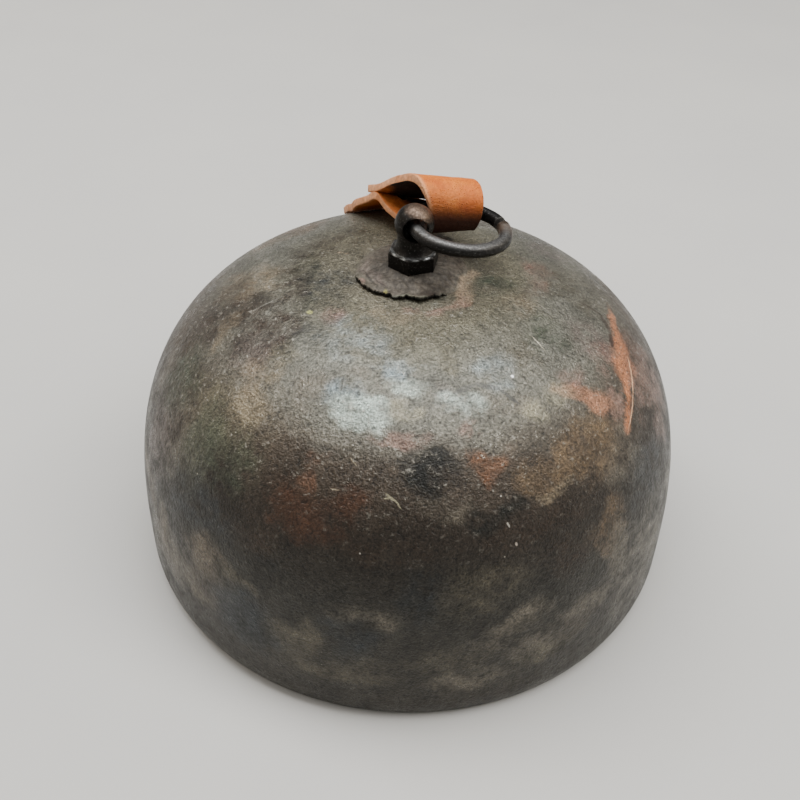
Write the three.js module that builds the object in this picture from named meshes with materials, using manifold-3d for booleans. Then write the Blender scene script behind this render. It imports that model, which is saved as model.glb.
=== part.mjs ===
// A hanging dome bell: a spun metal shell, an eye stud with a hanging ring and a
// leather strap on its crown, and a clapper hung from the stud inside.
// Millimetres. The origin is on the bell's axis in the plane of the rim, +Z is up,
// and the strap lies towards +Y with the ring laid over towards +X.

import * as THREE from 'three';
import { mergeVertices } from 'three/addons/utils/BufferGeometryUtils.js';
import Module from 'manifold-3d';

const wasm = await Module();
wasm.setup();

// Bell shell
const BELL_RADIUS = 65;            // at the belly, the widest place
const BELL_HEIGHT = 73.4;          // rim to crown, outside
const RIM_RADIUS = 63.2;           // outside, where the bell stands
const BELLY_HEIGHT = 6.4;          // height of the widest place over the rim
const WALL = 2.5;
const RIM_ROUND = 0.5;             // rounding of the rim's two edges
const SIDE_POWER = 2.735;          // how square the dome's side is
const CROWN_POWER = 3;             // how flat the dome's crown is

// Clearances
const FIT_GAP = 0.3;               // between curved pieces that touch
const STRAP_SIDE_GAP = 3.05;       // from the ball to where the wire enters the strap

// Crown plate
const PLATE_RADIUS = 12.3;
const PLATE_EDGE = 0.9;            // thickness at its ragged edge
const PLATE_SEAT_RADIUS = 6.6;     // flat top that the stud's hexagon sits on
const PLATE_SEAT_HEIGHT = 2;       // of that flat top over the crown

// Eye stud
const HEX_FLATS = 10;
const HEX_HEIGHT = 3.7;
const HEX_TURN = -10.7;            // degrees, of one corner from the front
const HEX_CHAMFER = 0.8;
const NECK_FLARE_RADIUS = 4.6;     // where the neck runs out on the hexagon
const NECK_RADIUS = 3.6;
const NECK_HEIGHT = 2.1;           // hexagon to the neck's waist
const BALL_RADIUS = 4.25;
const BALL_LIFT = 6.1;             // hexagon to the ball's centre
const BALL_HOLE_RADIUS = 2.35;     // at its waist
const BALL_HOLE_FLARE = 0.75;      // how much wider its mouths are
const SHANK_RADIUS = 3;
const SHANK_CHAMFER = 0.5;
const SHANK_TAIL = 4.6;            // below the nut, with the clapper's hole in it
const SHANK_HOLE_RADIUS = 1.4;

// Hanging ring, a bent wire with its ends butted
const RING_WIRE_RADIUS = 1.5;
const RING_RADIUS = 10.05;         // of the wire's centre line
const RING_TILT = 6;               // degrees, down towards +X
const RING_LEAN = 2.5;             // degrees, down towards +Y
const RING_SHIFT_X = -0.3;         // the ring lies a little to one side in its hole,
const RING_SHIFT_Y = 0.9;          // a little back
const RING_SHIFT_Z = -0.35;        // and down on the hole's floor
const RING_JOINT_ANGLE = 28;       // degrees round the ring to its butt joint
const RING_JOINT_GAP = 0.35;

// Leather strap
const STRAP_THICKNESS = 1.8;
const STRAP_WIDTH = 12.1;          // between the places where the wire enters and leaves
const STRAP_LIE = 0.35;            // of the tail over the dome, at its nearest
const LAYER_GAP = 0.6;             // between the two layers where they are riveted

// Strap rivet
const RIVET_RADIUS = 1.3;
const RIVET_HEAD_RADIUS = 2.8;
const RIVET_HEAD_HEIGHT = 0.7;
const RIVET_BURR_RADIUS = 2.6;
const RIVET_BURR_HEIGHT = 0.6;
const RIVET_SET = 0.4;             // of the shank's end past the burr
const RIVET_SINK = 0.4;            // of the head and the burr into the leather

// Fastening inside the crown
const WASHER_RADIUS = 7.5;
const WASHER_THICKNESS = 1.2;
const NUT_FLATS = 10;
const NUT_HEIGHT = 3.2;

// Clapper
const LINK_WIRE_RADIUS = 1.05;
const LINK_TOP_HALF = 4.6;         // half the straight top that runs through the shank
const LINK_CORNER = 1.5;
const LINK_HEIGHT = 11;
const LINK_FOOT_RADIUS = 3.1;
const LINK_JOINT_GAP = 0.35;
const EYE_RADIUS = 3.1;            // of the eye's wire, to its centre line
const EYE_WIRE_RADIUS = 1.1;
const ROD_RADIUS = 1.6;
const ROD_FOOT_RADIUS = 3.2;       // the spread end that carries the bob
const ROD_FOOT_HEIGHT = 1.2;
const BOB_RADIUS = 12;
const BOB_FLAT_RADIUS = 4.4;       // flat on the bob's underside
const FLOOR_CLEARANCE = 2.6;       // of the clapper's foot over the rim plane

// Number of facets
const SHELL_SEGMENTS = 64;
const TURNED_SEGMENTS = 32;
const RING_SEGMENTS = 12;          // around its wire
const RING_STEPS = 60;             // along its wire
const STRAP_STEPS = 76;            // along the leather
const STRAP_COLUMNS = 4;           // across it

// Heights and radii that follow from the sizes above
const crownTop = BELL_HEIGHT;
const domeRise = BELL_HEIGHT - BELLY_HEIGHT;
const innerRise = domeRise - WALL;
const innerRadius = BELL_RADIUS - WALL;
const shankHoleRadius = SHANK_RADIUS + FIT_GAP;
const seatZ = crownTop + PLATE_SEAT_HEIGHT;
const hexTopZ = seatZ + HEX_HEIGHT;
const ballZ = hexTopZ + BALL_LIFT;
const hexCornerRadius = (flats) => flats / Math.sqrt(3);

const degrees = (value) => THREE.MathUtils.degToRad(value);

// Outside of the dome at a radius, and its inside
function domeHeight(radius) {
  const share = Math.min(radius / BELL_RADIUS, 1);
  return BELLY_HEIGHT + domeRise * (1 - share ** SIDE_POWER) ** (1 / CROWN_POWER);
}

function ceilingHeight(radius) {
  const share = Math.min(radius / innerRadius, 1);
  return BELLY_HEIGHT + innerRise * (1 - share ** SIDE_POWER) ** (1 / CROWN_POWER);
}

const washerTopZ = ceilingHeight(WASHER_RADIUS) - FIT_GAP;
const nutTopZ = washerTopZ - WASHER_THICKNESS;
const nutBottomZ = nutTopZ - NUT_HEIGHT;
const shankEndZ = nutBottomZ - SHANK_TAIL;
const linkPivotZ = nutBottomZ - SHANK_TAIL / 2;
const linkFootZ = linkPivotZ - LINK_HEIGHT;
const rodPivotZ = linkFootZ + LINK_WIRE_RADIUS + EYE_WIRE_RADIUS + FIT_GAP;
const eyeZ = rodPivotZ - EYE_RADIUS;
const rodFootZ = FLOOR_CLEARANCE;
const bobFlatZ = rodFootZ + ROD_FOOT_HEIGHT;
const bobZ = bobFlatZ + Math.sqrt(BOB_RADIUS ** 2 - BOB_FLAT_RADIUS ** 2);

const material = (color, roughness, metalness) =>
  new THREE.MeshStandardMaterial({ color, roughness, metalness });

const finishes = {
  patina: material(0x4c4238, 0.42, 0.85),
  solder: material(0x6b625a, 0.7, 0.6),
  blackIron: material(0x2b2826, 0.5, 0.9),
  leather: material(0xb8713c, 0.75, 0),
  brass: material(0xa08045, 0.4, 1),
  steel: material(0x6f6c68, 0.45, 1),
  castIron: material(0x3a3431, 0.6, 0.9),
};

const bell = new THREE.Group();

function addPiece(name, geometry, finish, parent = bell) {
  const mesh = new THREE.Mesh(geometry, finish);
  mesh.name = name;
  parent.add(mesh);
  return mesh;
}

// Closed solids from three.js geometry, joined and cut
function toSolid(geometry) {
  const bare = geometry.clone();
  bare.deleteAttribute('normal');
  bare.deleteAttribute('uv');
  const merged = mergeVertices(bare, 1e-4);
  return new wasm.Manifold(new wasm.Mesh({
    numProp: 3,
    vertProperties: new Float32Array(merged.attributes.position.array),
    triVerts: new Uint32Array(merged.index.array),
  }));
}

function toGeometry(solid) {
  const mesh = solid.getMesh();
  const geometry = new THREE.BufferGeometry();
  geometry.setAttribute('position', new THREE.BufferAttribute(mesh.vertProperties, 3));
  geometry.setIndex(new THREE.BufferAttribute(mesh.triVerts, 1));
  geometry.computeVertexNormals();
  return geometry;
}

// A turned piece about +Z from [radius, z] points, listed from the bottom up
function turned(points, segments = TURNED_SEGMENTS) {
  const profile = points.map(([radius, z]) => new THREE.Vector2(radius, z));
  return new THREE.LatheGeometry(profile, segments).rotateX(Math.PI / 2);
}

function drill(radius, length, segments = 24) {
  return new THREE.CylinderGeometry(radius, radius, length, segments);
}

// Points of a curve y = height(x) between two x values, both ends included
function sample(from, to, steps, height) {
  const points = [];
  for (let i = 0; i <= steps; i += 1) {
    const share = i / steps;
    points.push(height(from * (1 - share) + to * share));
  }
  return points;
}

// Bell shell: a dome with a slight belly over its rim, drawn in to the mouth
function bellShell() {
  const dome = (radius, rise) => (angle) => [
    radius * Math.sin(angle) ** (2 / SIDE_POWER),
    BELLY_HEIGHT + rise * Math.cos(angle) ** (2 / CROWN_POWER),
  ];
  const edgeAngle = (radius) => Math.asin((shankHoleRadius / radius) ** (SIDE_POWER / 2));
  const skirt = (radius, rim) => (z) => [
    rim + (radius - rim) * (1 - ((BELLY_HEIGHT - z) / BELLY_HEIGHT) ** 2), z,
  ];
  const innerRim = RIM_RADIUS - WALL;
  const outerRound = (angle) => [
    RIM_RADIUS - RIM_ROUND + RIM_ROUND * Math.cos(angle), RIM_ROUND - RIM_ROUND * Math.sin(angle),
  ];
  const innerRound = (angle) => [
    innerRim + RIM_ROUND - RIM_ROUND * Math.cos(angle), RIM_ROUND - RIM_ROUND * Math.sin(angle),
  ];
  const quarter = Math.PI / 2;
  const points = [
    ...sample(edgeAngle(BELL_RADIUS), quarter, 15, dome(BELL_RADIUS, domeRise)),
    ...sample(BELLY_HEIGHT, RIM_ROUND, 3, skirt(BELL_RADIUS, RIM_RADIUS)).slice(1, -1),
    ...sample(0, quarter, 2, outerRound),
    ...sample(quarter, 0, 2, innerRound),
    ...sample(RIM_ROUND, BELLY_HEIGHT, 3, skirt(innerRadius, innerRim)).slice(1, -1),
    ...sample(quarter, edgeAngle(innerRadius), 11, dome(innerRadius, innerRise)),
  ];
  points.push(points[0]);
  return turned(points.reverse(), SHELL_SEGMENTS);
}

// Crown plate: a hammered disc on the crown, with a wavy torn edge and a flat seat
function crownPlate() {
  const edgeTop = domeHeight(PLATE_RADIUS) + FIT_GAP + PLATE_EDGE;
  const under = (radius) => [radius, domeHeight(radius) + FIT_GAP];
  const over = (share) => [
    PLATE_SEAT_RADIUS + (PLATE_RADIUS - PLATE_SEAT_RADIUS) * share,
    seatZ + (edgeTop - seatZ) * share ** 0.75,
  ];
  const points = [
    ...sample(shankHoleRadius, PLATE_RADIUS, 4, under),
    ...sample(1, 0, 4, over),
    [shankHoleRadius, seatZ],
  ];
  points.push(points[0]);
  const plate = turned(points, 48);
  const place = plate.attributes.position;
  for (let i = 0; i < place.count; i += 1) {
    const x = place.getX(i);
    const y = place.getY(i);
    const radius = Math.hypot(x, y);
    const angle = Math.atan2(y, x);
    const outward = Math.max(0, (radius - PLATE_SEAT_RADIUS) / (PLATE_RADIUS - PLATE_SEAT_RADIUS));
    const wave = 0.035 * Math.sin(3 * angle + 0.6) + 0.022 * Math.sin(7 * angle + 2.1)
      + 0.012 * Math.sin(13 * angle + 0.9) - 0.06 * Math.cos(angle);
    const grown = radius * (1 + wave * outward);
    const lift = domeHeight(grown) - domeHeight(radius);
    place.setXYZ(i, grown * Math.cos(angle), grown * Math.sin(angle), place.getZ(i) + lift);
  }
  return plate;
}

// A hexagon bar from z = 0 up, chamfered on its top, one corner towards the front
function hexagon(flats, height, turn, chamfer) {
  const corner = hexCornerRadius(flats);
  const bar = new THREE.CylinderGeometry(corner, corner, height, 6, 1);
  bar.rotateX(Math.PI / 2).translate(0, 0, height / 2);
  bar.rotateZ(degrees(turn));
  const wide = corner + 1;
  const cone = turned([
    [0, -1], [wide, -1], [wide, height - chamfer + (corner - wide) * 0.5],
    [flats / 2 * 0.96, height], [0, height],
  ]);
  return toSolid(bar).intersect(toSolid(cone));
}

// Eye stud: hexagon, flared neck and cross-drilled ball over the crown, and a
// shank through it with a cross hole for the clapper
function eyeStud() {
  const waistZ = hexTopZ + NECK_HEIGHT;
  const flare = (share) => [
    NECK_RADIUS + (NECK_FLARE_RADIUS - NECK_RADIUS) * (1 - share) ** 2,
    hexTopZ + NECK_HEIGHT * share,
  ];
  const startAngle = Math.asin(NECK_RADIUS / BALL_RADIUS);
  const ball = (angle) => [
    BALL_RADIUS * Math.sin(angle), ballZ - BALL_RADIUS * Math.cos(angle),
  ];
  const body = turned([
    [0, shankEndZ], [SHANK_RADIUS - SHANK_CHAMFER, shankEndZ],
    [SHANK_RADIUS, shankEndZ + SHANK_CHAMFER], [SHANK_RADIUS, seatZ],
    [NECK_FLARE_RADIUS, seatZ],
    ...sample(0, 1, 4, flare),
    ...sample(startAngle, Math.PI, 14, ball).slice(0, -1),
    [0, ballZ + BALL_RADIUS],
  ]);
  const collar = hexagon(HEX_FLATS, HEX_HEIGHT, HEX_TURN, HEX_CHAMFER).translate([0, 0, seatZ]);
  const mouth = Math.sqrt(BALL_RADIUS ** 2 - BALL_HOLE_RADIUS ** 2);
  const waist = (y) => [BALL_HOLE_RADIUS + BALL_HOLE_FLARE * (y / mouth) ** 2, y];
  const ends = 1.4 * mouth;
  const ringHole = toSolid(turned([[0, -ends], ...sample(-ends, ends, 8, waist), [0, ends]], 24)
    .rotateX(Math.PI / 2)).translate([0, 0, ballZ]);
  const linkHole = toSolid(drill(SHANK_HOLE_RADIUS, 4 * SHANK_RADIUS, 16));
  if (waistZ > ballZ - BALL_RADIUS * Math.cos(startAngle)) {
    throw new Error('the neck is taller than the room under the ball');
  }
  return toGeometry(toSolid(body).add(collar).subtract(ringHole)
    .subtract(linkHole.translate([0, 0, linkPivotZ])));
}

// A round wire along a path
function wire(path, radius, steps, sides) {
  const section = new THREE.Shape();
  for (let i = 0; i < sides; i += 1) {
    const angle = 2 * Math.PI * i / sides;
    const x = radius * Math.cos(angle);
    const y = radius * Math.sin(angle);
    if (i === 0) section.moveTo(x, y);
    else section.lineTo(x, y);
  }
  section.closePath();
  return new THREE.ExtrudeGeometry(section, { steps, extrudePath: path, bevelEnabled: false });
}

// Hanging ring: its centre line lies in a tilted plane, and passes through the ball
const ringTilt = degrees(RING_TILT);
const ringTurn = new THREE.Euler(-degrees(RING_LEAN), ringTilt, 0, 'YXZ');
const ringCentre = new THREE.Vector3(
  RING_RADIUS * Math.cos(ringTilt) + RING_SHIFT_X,
  RING_SHIFT_Y,
  ballZ - RING_RADIUS * Math.sin(ringTilt) + RING_SHIFT_Z,
);

function ringPoint(angle) {
  const place = new THREE.Vector3(RING_RADIUS * Math.cos(angle), RING_RADIUS * Math.sin(angle), 0);
  return place.applyEuler(ringTurn).add(ringCentre);
}

class RingPath extends THREE.Curve {
  getPoint(share) {
    const half = RING_JOINT_GAP / 2 / RING_RADIUS;
    const start = degrees(RING_JOINT_ANGLE) + half;
    return ringPoint(start + (2 * Math.PI - 2 * half) * share);
  }
}

// Leather strap: folded once round the ring, its layers brought together behind it,
// and its tail laid down the back of the dome. Each station gives a place on the
// leather's flesh side, as mm right, back and up of where the wire enters (left
// edge) or leaves (right edge), from the cut end, over the roll and under it.
const LEFT_EDGE = [
  [-13.4, 19.7, -6.4], [-11.1, 16.1, -4.2], [-7.8, 11.1, 0.1], [-5.8, 8.0, 2.3],
  [-3.5, 4.6, 4.4], [-1.7, 1.8, 4.8], [-0.1, -0.8, 3.3], [1.0, -2.4, 0.6],
  [0.9, -2.2, -2.0], [-0.4, -0.2, -4.0], [-2.8, 3.4, -5.4], [-6.0, 8.4, -5.9],
  [-8.7, 12.5, -5.6], [-14.0, 20.7, -7.8], [-16.8, 25.0, -11.2],
];
const RIGHT_EDGE = [
  [-13.2, 20.5, -7.4], [-10.7, 16.1, -5.7], [-6.5, 10.0, -1.7], [-3.3, 5.6, 2.4],
  [-1.1, 2.6, 4.6], [0.3, -0.4, 4.7], [0.8, -2.7, 3.2], [0.4, -3.5, 1.2],
  [-0.6, -2.8, -1.1], [-1.4, -0.3, -1.8], [-3.1, 4.0, -3.3], [-6.2, 9.4, -5.1],
  [-9.0, 13.8, -6.0], [-14.2, 21.6, -8.4], [-17.2, 26.3, -11.0],
];
const PINCH_STATION = 1;            // of the upper layer
const PINCH_RETURN = 13;           // of the lower layer, which the upper one places
const TAIL_HEADING = 15;           // degrees, from straight back towards -X
const TAIL_STEP = 4.8;             // between the tail's stations on the dome
const TAIL_STEPS = 3;

const enterAngle = Math.PI - (BALL_RADIUS + STRAP_SIDE_GAP) / RING_RADIUS;
const leaveAngle = enterAngle - 2 * Math.asin(STRAP_WIDTH / 2 / RING_RADIUS);
const enterPoint = ringPoint(enterAngle);
const leavePoint = ringPoint(leaveAngle);

// The tail's flesh side lies one leather and a gap over the dome's highest place
// between its two edges
function tailPair(left, right) {
  let rise = 0;
  const level = (point) => domeHeight(Math.hypot(point.x, point.y));
  for (let i = 0; i <= 8; i += 1) {
    const between = left.clone().lerp(right, i / 8);
    const straight = THREE.MathUtils.lerp(level(left), level(right), i / 8);
    rise = Math.max(rise, level(between) - straight);
  }
  const settle = (point) => {
    const radius = Math.hypot(point.x, point.y);
    const slope = domeHeight(radius - 0.5) - domeHeight(radius + 0.5);
    const lift = (STRAP_THICKNESS + STRAP_LIE) * Math.hypot(1, slope);
    return new THREE.Vector3(point.x, point.y, domeHeight(radius) + rise + lift);
  };
  return [settle(left), settle(right)];
}

function strapEdges() {
  const left = LEFT_EDGE.map((offset) => new THREE.Vector3(...offset).add(enterPoint));
  const right = RIGHT_EDGE.map((offset) => new THREE.Vector3(...offset).add(leavePoint));
  for (const points of [left, right]) {
    const under = points[PINCH_STATION].clone();
    under.z -= LAYER_GAP;
    points.splice(PINCH_RETURN, 0, under);
  }
  const heading = degrees(TAIL_HEADING);
  const step = new THREE.Vector3(-Math.sin(heading), Math.cos(heading), 0).setLength(TAIL_STEP);
  const leftStart = left.at(-1).clone();
  const rightStart = right.at(-1).clone();
  for (let i = 1; i <= TAIL_STEPS; i += 1) {
    const move = step.clone().multiplyScalar(i);
    const [leftPlace, rightPlace] = tailPair(
      leftStart.clone().add(move), rightStart.clone().add(move),
    );
    left.push(leftPlace);
    right.push(rightPlace);
  }
  return [left, right].map((points) => new THREE.CatmullRomCurve3(points, false, 'centripetal'));
}

// A strip lofted between two edge curves, thickened on its outer side
function strip(leftCurve, rightCurve, thickness, steps, columns) {
  const flesh = (row, column) => leftCurve.getPoint(row / steps)
    .lerp(rightCurve.getPoint(row / steps), column / columns);
  const grain = (row, column) => {
    const along = flesh(Math.min(row + 1, steps), column).sub(flesh(Math.max(row - 1, 0), column));
    const across = flesh(row, columns).sub(flesh(row, 0));
    return flesh(row, column).addScaledVector(along.cross(across).normalize(), thickness);
  };
  const positions = [];
  const faces = [];
  const width = columns + 1;
  const layer = (steps + 1) * width;
  for (const side of [flesh, grain]) {
    for (let row = 0; row <= steps; row += 1) {
      for (let column = 0; column <= columns; column += 1) {
        positions.push(...side(row, column).toArray());
      }
    }
  }
  const quad = (a, b, c, d) => faces.push(a, c, b, a, d, c);
  for (let row = 0; row < steps; row += 1) {
    for (let column = 0; column < columns; column += 1) {
      const a = row * width + column;
      quad(a, a + width, a + width + 1, a + 1);
      quad(layer + a, layer + a + 1, layer + a + width + 1, layer + a + width);
    }
    const start = row * width;
    const end = start + columns;
    quad(start, layer + start, layer + start + width, start + width);
    quad(end, end + width, layer + end + width, layer + end);
  }
  for (let column = 0; column < columns; column += 1) {
    const last = steps * width + column;
    quad(column, column + 1, layer + column + 1, layer + column);
    quad(last, layer + last, layer + last + 1, last + 1);
  }
  const geometry = new THREE.BufferGeometry();
  geometry.setAttribute('position', new THREE.Float32BufferAttribute(positions, 3));
  geometry.setIndex(faces);
  return geometry;
}

const [strapLeft, strapRight] = strapEdges();
const strapStations = strapLeft.points.length;

// The rivet stands square to the leather, in the middle of the pinched layers
function pinchFrame() {
  const share = PINCH_STATION / (strapStations - 1);
  const near = 0.5 / (strapStations - 1);
  const middle = (at) => strapLeft.getPoint(at).lerp(strapRight.getPoint(at), 0.5);
  const along = middle(share + near).sub(middle(share - near));
  const across = strapRight.getPoint(share).sub(strapLeft.getPoint(share));
  const normal = along.cross(across).normalize();
  return { place: middle(share), normal };
}

const pinch = pinchFrame();
const rivetTurn = new THREE.Quaternion().setFromUnitVectors(new THREE.Vector3(0, 0, 1), pinch.normal);
const headSeat = STRAP_THICKNESS - RIVET_SINK;
const burrSeat = -(LAYER_GAP + STRAP_THICKNESS - RIVET_SINK);
const rivetBottom = burrSeat - RIVET_BURR_HEIGHT - RIVET_SET;

// The leather is punched for the rivet, and pressed in under its head and its burr
function leatherStrap() {
  const leather = toSolid(strip(strapLeft, strapRight, STRAP_THICKNESS, STRAP_STEPS, STRAP_COLUMNS));
  const reach = 3 * STRAP_THICKNESS;
  const punch = (radius, from, to) => {
    const tool = drill(radius, to - from).rotateX(Math.PI / 2).translate(0, 0, (from + to) / 2);
    return toSolid(tool.applyQuaternion(rivetTurn).translate(...pinch.place.toArray()));
  };
  return toGeometry(leather
    .subtract(punch(RIVET_RADIUS + FIT_GAP, -reach, reach))
    .subtract(punch(RIVET_HEAD_RADIUS + FIT_GAP, headSeat - FIT_GAP, headSeat + reach))
    .subtract(punch(RIVET_BURR_RADIUS + FIT_GAP, burrSeat - reach, burrSeat + FIT_GAP)));
}

function strapRivet() {
  const top = headSeat + RIVET_HEAD_HEIGHT;
  return turned([
    [0, rivetBottom], [RIVET_RADIUS, rivetBottom], [RIVET_RADIUS, headSeat],
    [RIVET_HEAD_RADIUS, headSeat], [RIVET_HEAD_RADIUS * 0.85, headSeat + RIVET_HEAD_HEIGHT * 0.6],
    [RIVET_HEAD_RADIUS * 0.45, top], [0, top],
  ], 24);
}

function rivetBurr() {
  const hole = RIVET_RADIUS + FIT_GAP;
  return turned([
    [hole, 0], [RIVET_BURR_RADIUS, 0], [RIVET_BURR_RADIUS, RIVET_BURR_HEIGHT],
    [hole, RIVET_BURR_HEIGHT], [hole, 0],
  ], 24);
}

// Washer and thin nut that clamp the stud inside the crown
function washer() {
  return turned([
    [shankHoleRadius, nutTopZ], [WASHER_RADIUS, nutTopZ], [WASHER_RADIUS, washerTopZ],
    [shankHoleRadius, washerTopZ], [shankHoleRadius, nutTopZ],
  ]);
}

function nut() {
  const bore = toSolid(drill(shankHoleRadius, 4 * NUT_HEIGHT).rotateX(Math.PI / 2));
  const solid = hexagon(NUT_FLATS, NUT_HEIGHT, 12, 0.6).subtract(bore);
  return toGeometry(solid.rotate([180, 0, 0]).translate([0, 0, nutTopZ]));
}

// Clapper link: a stirrup of wire whose straight top runs through the shank's hole
function linkPath() {
  const path = new THREE.CurvePath();
  const at = (y, z) => new THREE.Vector3(0, y, linkPivotZ + z);
  const gap = LINK_JOINT_GAP / 2;
  const footY = LINK_FOOT_RADIUS;
  const footZ = -LINK_HEIGHT + LINK_FOOT_RADIUS;
  const handle = LINK_FOOT_RADIUS * 0.5523;
  const corner = LINK_CORNER;
  const side = LINK_TOP_HALF;
  path.add(new THREE.LineCurve3(at(0, 0), at(side - corner, 0)));
  path.add(new THREE.QuadraticBezierCurve3(at(side - corner, 0), at(side, 0), at(side, -corner)));
  path.add(new THREE.CubicBezierCurve3(
    at(side, -corner), at(side, -corner - 2), at(footY, footZ + 2), at(footY, footZ),
  ));
  path.add(new THREE.CubicBezierCurve3(
    at(footY, footZ), at(footY, footZ - handle), at(handle, -LINK_HEIGHT), at(0, -LINK_HEIGHT),
  ));
  path.add(new THREE.CubicBezierCurve3(
    at(0, -LINK_HEIGHT), at(-handle, -LINK_HEIGHT), at(-footY, footZ - handle), at(-footY, footZ),
  ));
  path.add(new THREE.CubicBezierCurve3(
    at(-footY, footZ), at(-footY, footZ + 2), at(-side, -corner - 2), at(-side, -corner),
  ));
  path.add(new THREE.QuadraticBezierCurve3(
    at(-side, -corner), at(-side, 0), at(-side + corner, 0),
  ));
  path.add(new THREE.LineCurve3(at(-side + corner, 0), at(-2 * gap, 0)));
  return path;
}

// Clapper rod: an eye bent on its top, hung on the link, and a spread foot
function clapperRod() {
  const eye = new THREE.TorusGeometry(EYE_RADIUS, EYE_WIRE_RADIUS, 10, 28);
  eye.rotateX(Math.PI / 2).translate(0, 0, eyeZ);
  const top = eyeZ - EYE_RADIUS;
  const rod = turned([
    [0, rodFootZ], [ROD_FOOT_RADIUS - 0.4, rodFootZ], [ROD_FOOT_RADIUS, rodFootZ + 0.4],
    [ROD_FOOT_RADIUS, bobFlatZ], [ROD_RADIUS, bobFlatZ], [ROD_RADIUS, top - EYE_WIRE_RADIUS],
    [EYE_WIRE_RADIUS, top], [0, top],
  ], 24);
  return toGeometry(toSolid(eye).add(toSolid(rod)));
}

// Clapper bob: a cast ball, bored for the rod and flat where it sits on the rod's foot
function clapperBob() {
  const bore = ROD_RADIUS + FIT_GAP;
  const startAngle = Math.asin(BOB_FLAT_RADIUS / BOB_RADIUS);
  const endAngle = Math.PI - Math.asin(bore / BOB_RADIUS);
  const ball = (angle) => [BOB_RADIUS * Math.sin(angle), bobZ - BOB_RADIUS * Math.cos(angle)];
  const points = [[bore, bobFlatZ], ...sample(startAngle, endAngle, 12, ball)];
  points.push(points[0]);
  return turned(points);
}

addPiece('bell_shell', bellShell(), finishes.patina);
addPiece('crown_plate', crownPlate(), finishes.solder);
addPiece('eye_stud', eyeStud(), finishes.blackIron);
addPiece(
  'hanging_ring', wire(new RingPath(), RING_WIRE_RADIUS, RING_STEPS, RING_SEGMENTS),
  finishes.blackIron,
);
addPiece('leather_strap', leatherStrap(), finishes.leather);

const rivetPlace = new THREE.Group();
rivetPlace.position.copy(pinch.place);
rivetPlace.quaternion.copy(rivetTurn);
bell.add(rivetPlace);
addPiece('strap_rivet', strapRivet(), finishes.brass, rivetPlace);
const burr = addPiece('strap_rivet_burr', rivetBurr(), finishes.brass, rivetPlace);
burr.position.z = burrSeat - RIVET_BURR_HEIGHT;

addPiece('inner_washer', washer(), finishes.steel);
addPiece('inner_nut', nut(), finishes.steel);
addPiece('clapper_link', wire(linkPath(), LINK_WIRE_RADIUS, 44, 8), finishes.steel);
addPiece('clapper_rod', clapperRod(), finishes.blackIron);
addPiece('clapper_bob', clapperBob(), finishes.castIron);

export default bell;
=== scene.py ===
import random
from math import asin, atan2, cos, degrees, hypot, pi, radians, sin, sqrt

import bmesh
import bpy
import numpy as np
from mathutils import Matrix, Vector, noise


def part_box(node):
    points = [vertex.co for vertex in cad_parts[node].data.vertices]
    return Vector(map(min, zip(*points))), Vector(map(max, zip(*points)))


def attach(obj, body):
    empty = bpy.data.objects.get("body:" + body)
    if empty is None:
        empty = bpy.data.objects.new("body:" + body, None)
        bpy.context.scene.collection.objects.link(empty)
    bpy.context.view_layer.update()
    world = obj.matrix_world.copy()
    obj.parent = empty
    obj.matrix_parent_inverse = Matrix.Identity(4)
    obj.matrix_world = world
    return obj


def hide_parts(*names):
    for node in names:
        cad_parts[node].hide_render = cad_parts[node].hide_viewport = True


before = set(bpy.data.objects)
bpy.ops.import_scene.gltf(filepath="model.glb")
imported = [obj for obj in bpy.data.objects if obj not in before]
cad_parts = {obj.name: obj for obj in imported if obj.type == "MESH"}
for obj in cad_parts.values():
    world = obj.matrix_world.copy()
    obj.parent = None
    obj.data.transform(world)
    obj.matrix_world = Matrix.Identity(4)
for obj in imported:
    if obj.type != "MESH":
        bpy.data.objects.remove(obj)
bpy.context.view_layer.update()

# The view
# One looks down on the bell from the front with a normal lens, the camera a little turned.
# All sizes below are in millimetres, and each finished mesh is brought to metres once.
MM = 0.001
AIM = Vector((-2.095, 0.0, 36.43))
CAMERA_DISTANCE = 243.85
LOOK_DOWN = radians(39.314)
CAMERA_ROLL = radians(1.512)
LENS = 45.0
SENSOR_WIDTH = 36.0

forward = Vector((0, cos(LOOK_DOWN), -sin(LOOK_DOWN)))
level_up = Vector((0, sin(LOOK_DOWN), cos(LOOK_DOWN)))
right = cos(CAMERA_ROLL) * Vector((1, 0, 0)) + sin(CAMERA_ROLL) * level_up
up = right.cross(forward)


def placed(name, data):
    """A new object in the scene, showing that data."""
    made = bpy.data.objects.new(name, data)
    bpy.context.collection.objects.link(made)
    return made


camera = placed("camera", bpy.data.cameras.new("camera"))
camera.data.lens = LENS
camera.data.sensor_width = SENSOR_WIDTH
camera.data.clip_start = 10 * MM
camera.matrix_world = Matrix.Translation((AIM - CAMERA_DISTANCE * forward) * MM) @ Matrix(
    (right, up, -forward)).transposed().to_4x4()
bpy.context.scene.camera = camera


# Floor and light
# A sheet of pale matt board, under a wide soft window overhead and a dimmer room around it.
# The front of the room is the dark side, which leaves the bell's lower half in shade.
def linear(code):
    """An sRGB hex colour as linear red, green, blue and an alpha of 1."""
    values = [int(code[i:i + 2], 16) / 255 for i in (1, 3, 5)]
    return [v / 12.92 if v <= 0.04045 else ((v + 0.055) / 1.055) ** 2.4 for v in values] + [1.0]


def feed(node, inputs):
    """Sets a node's inputs, in order or by name, to values, sockets or other nodes' output."""
    for name, value in inputs.items() if isinstance(inputs, dict) else enumerate(inputs):
        if isinstance(value, bpy.types.Node):
            value = next(socket for socket in value.outputs if socket.enabled)
        if isinstance(value, bpy.types.NodeSocket):
            node.id_data.links.new(value, node.inputs[name])
        else:
            node.inputs[name].default_value = value


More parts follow.
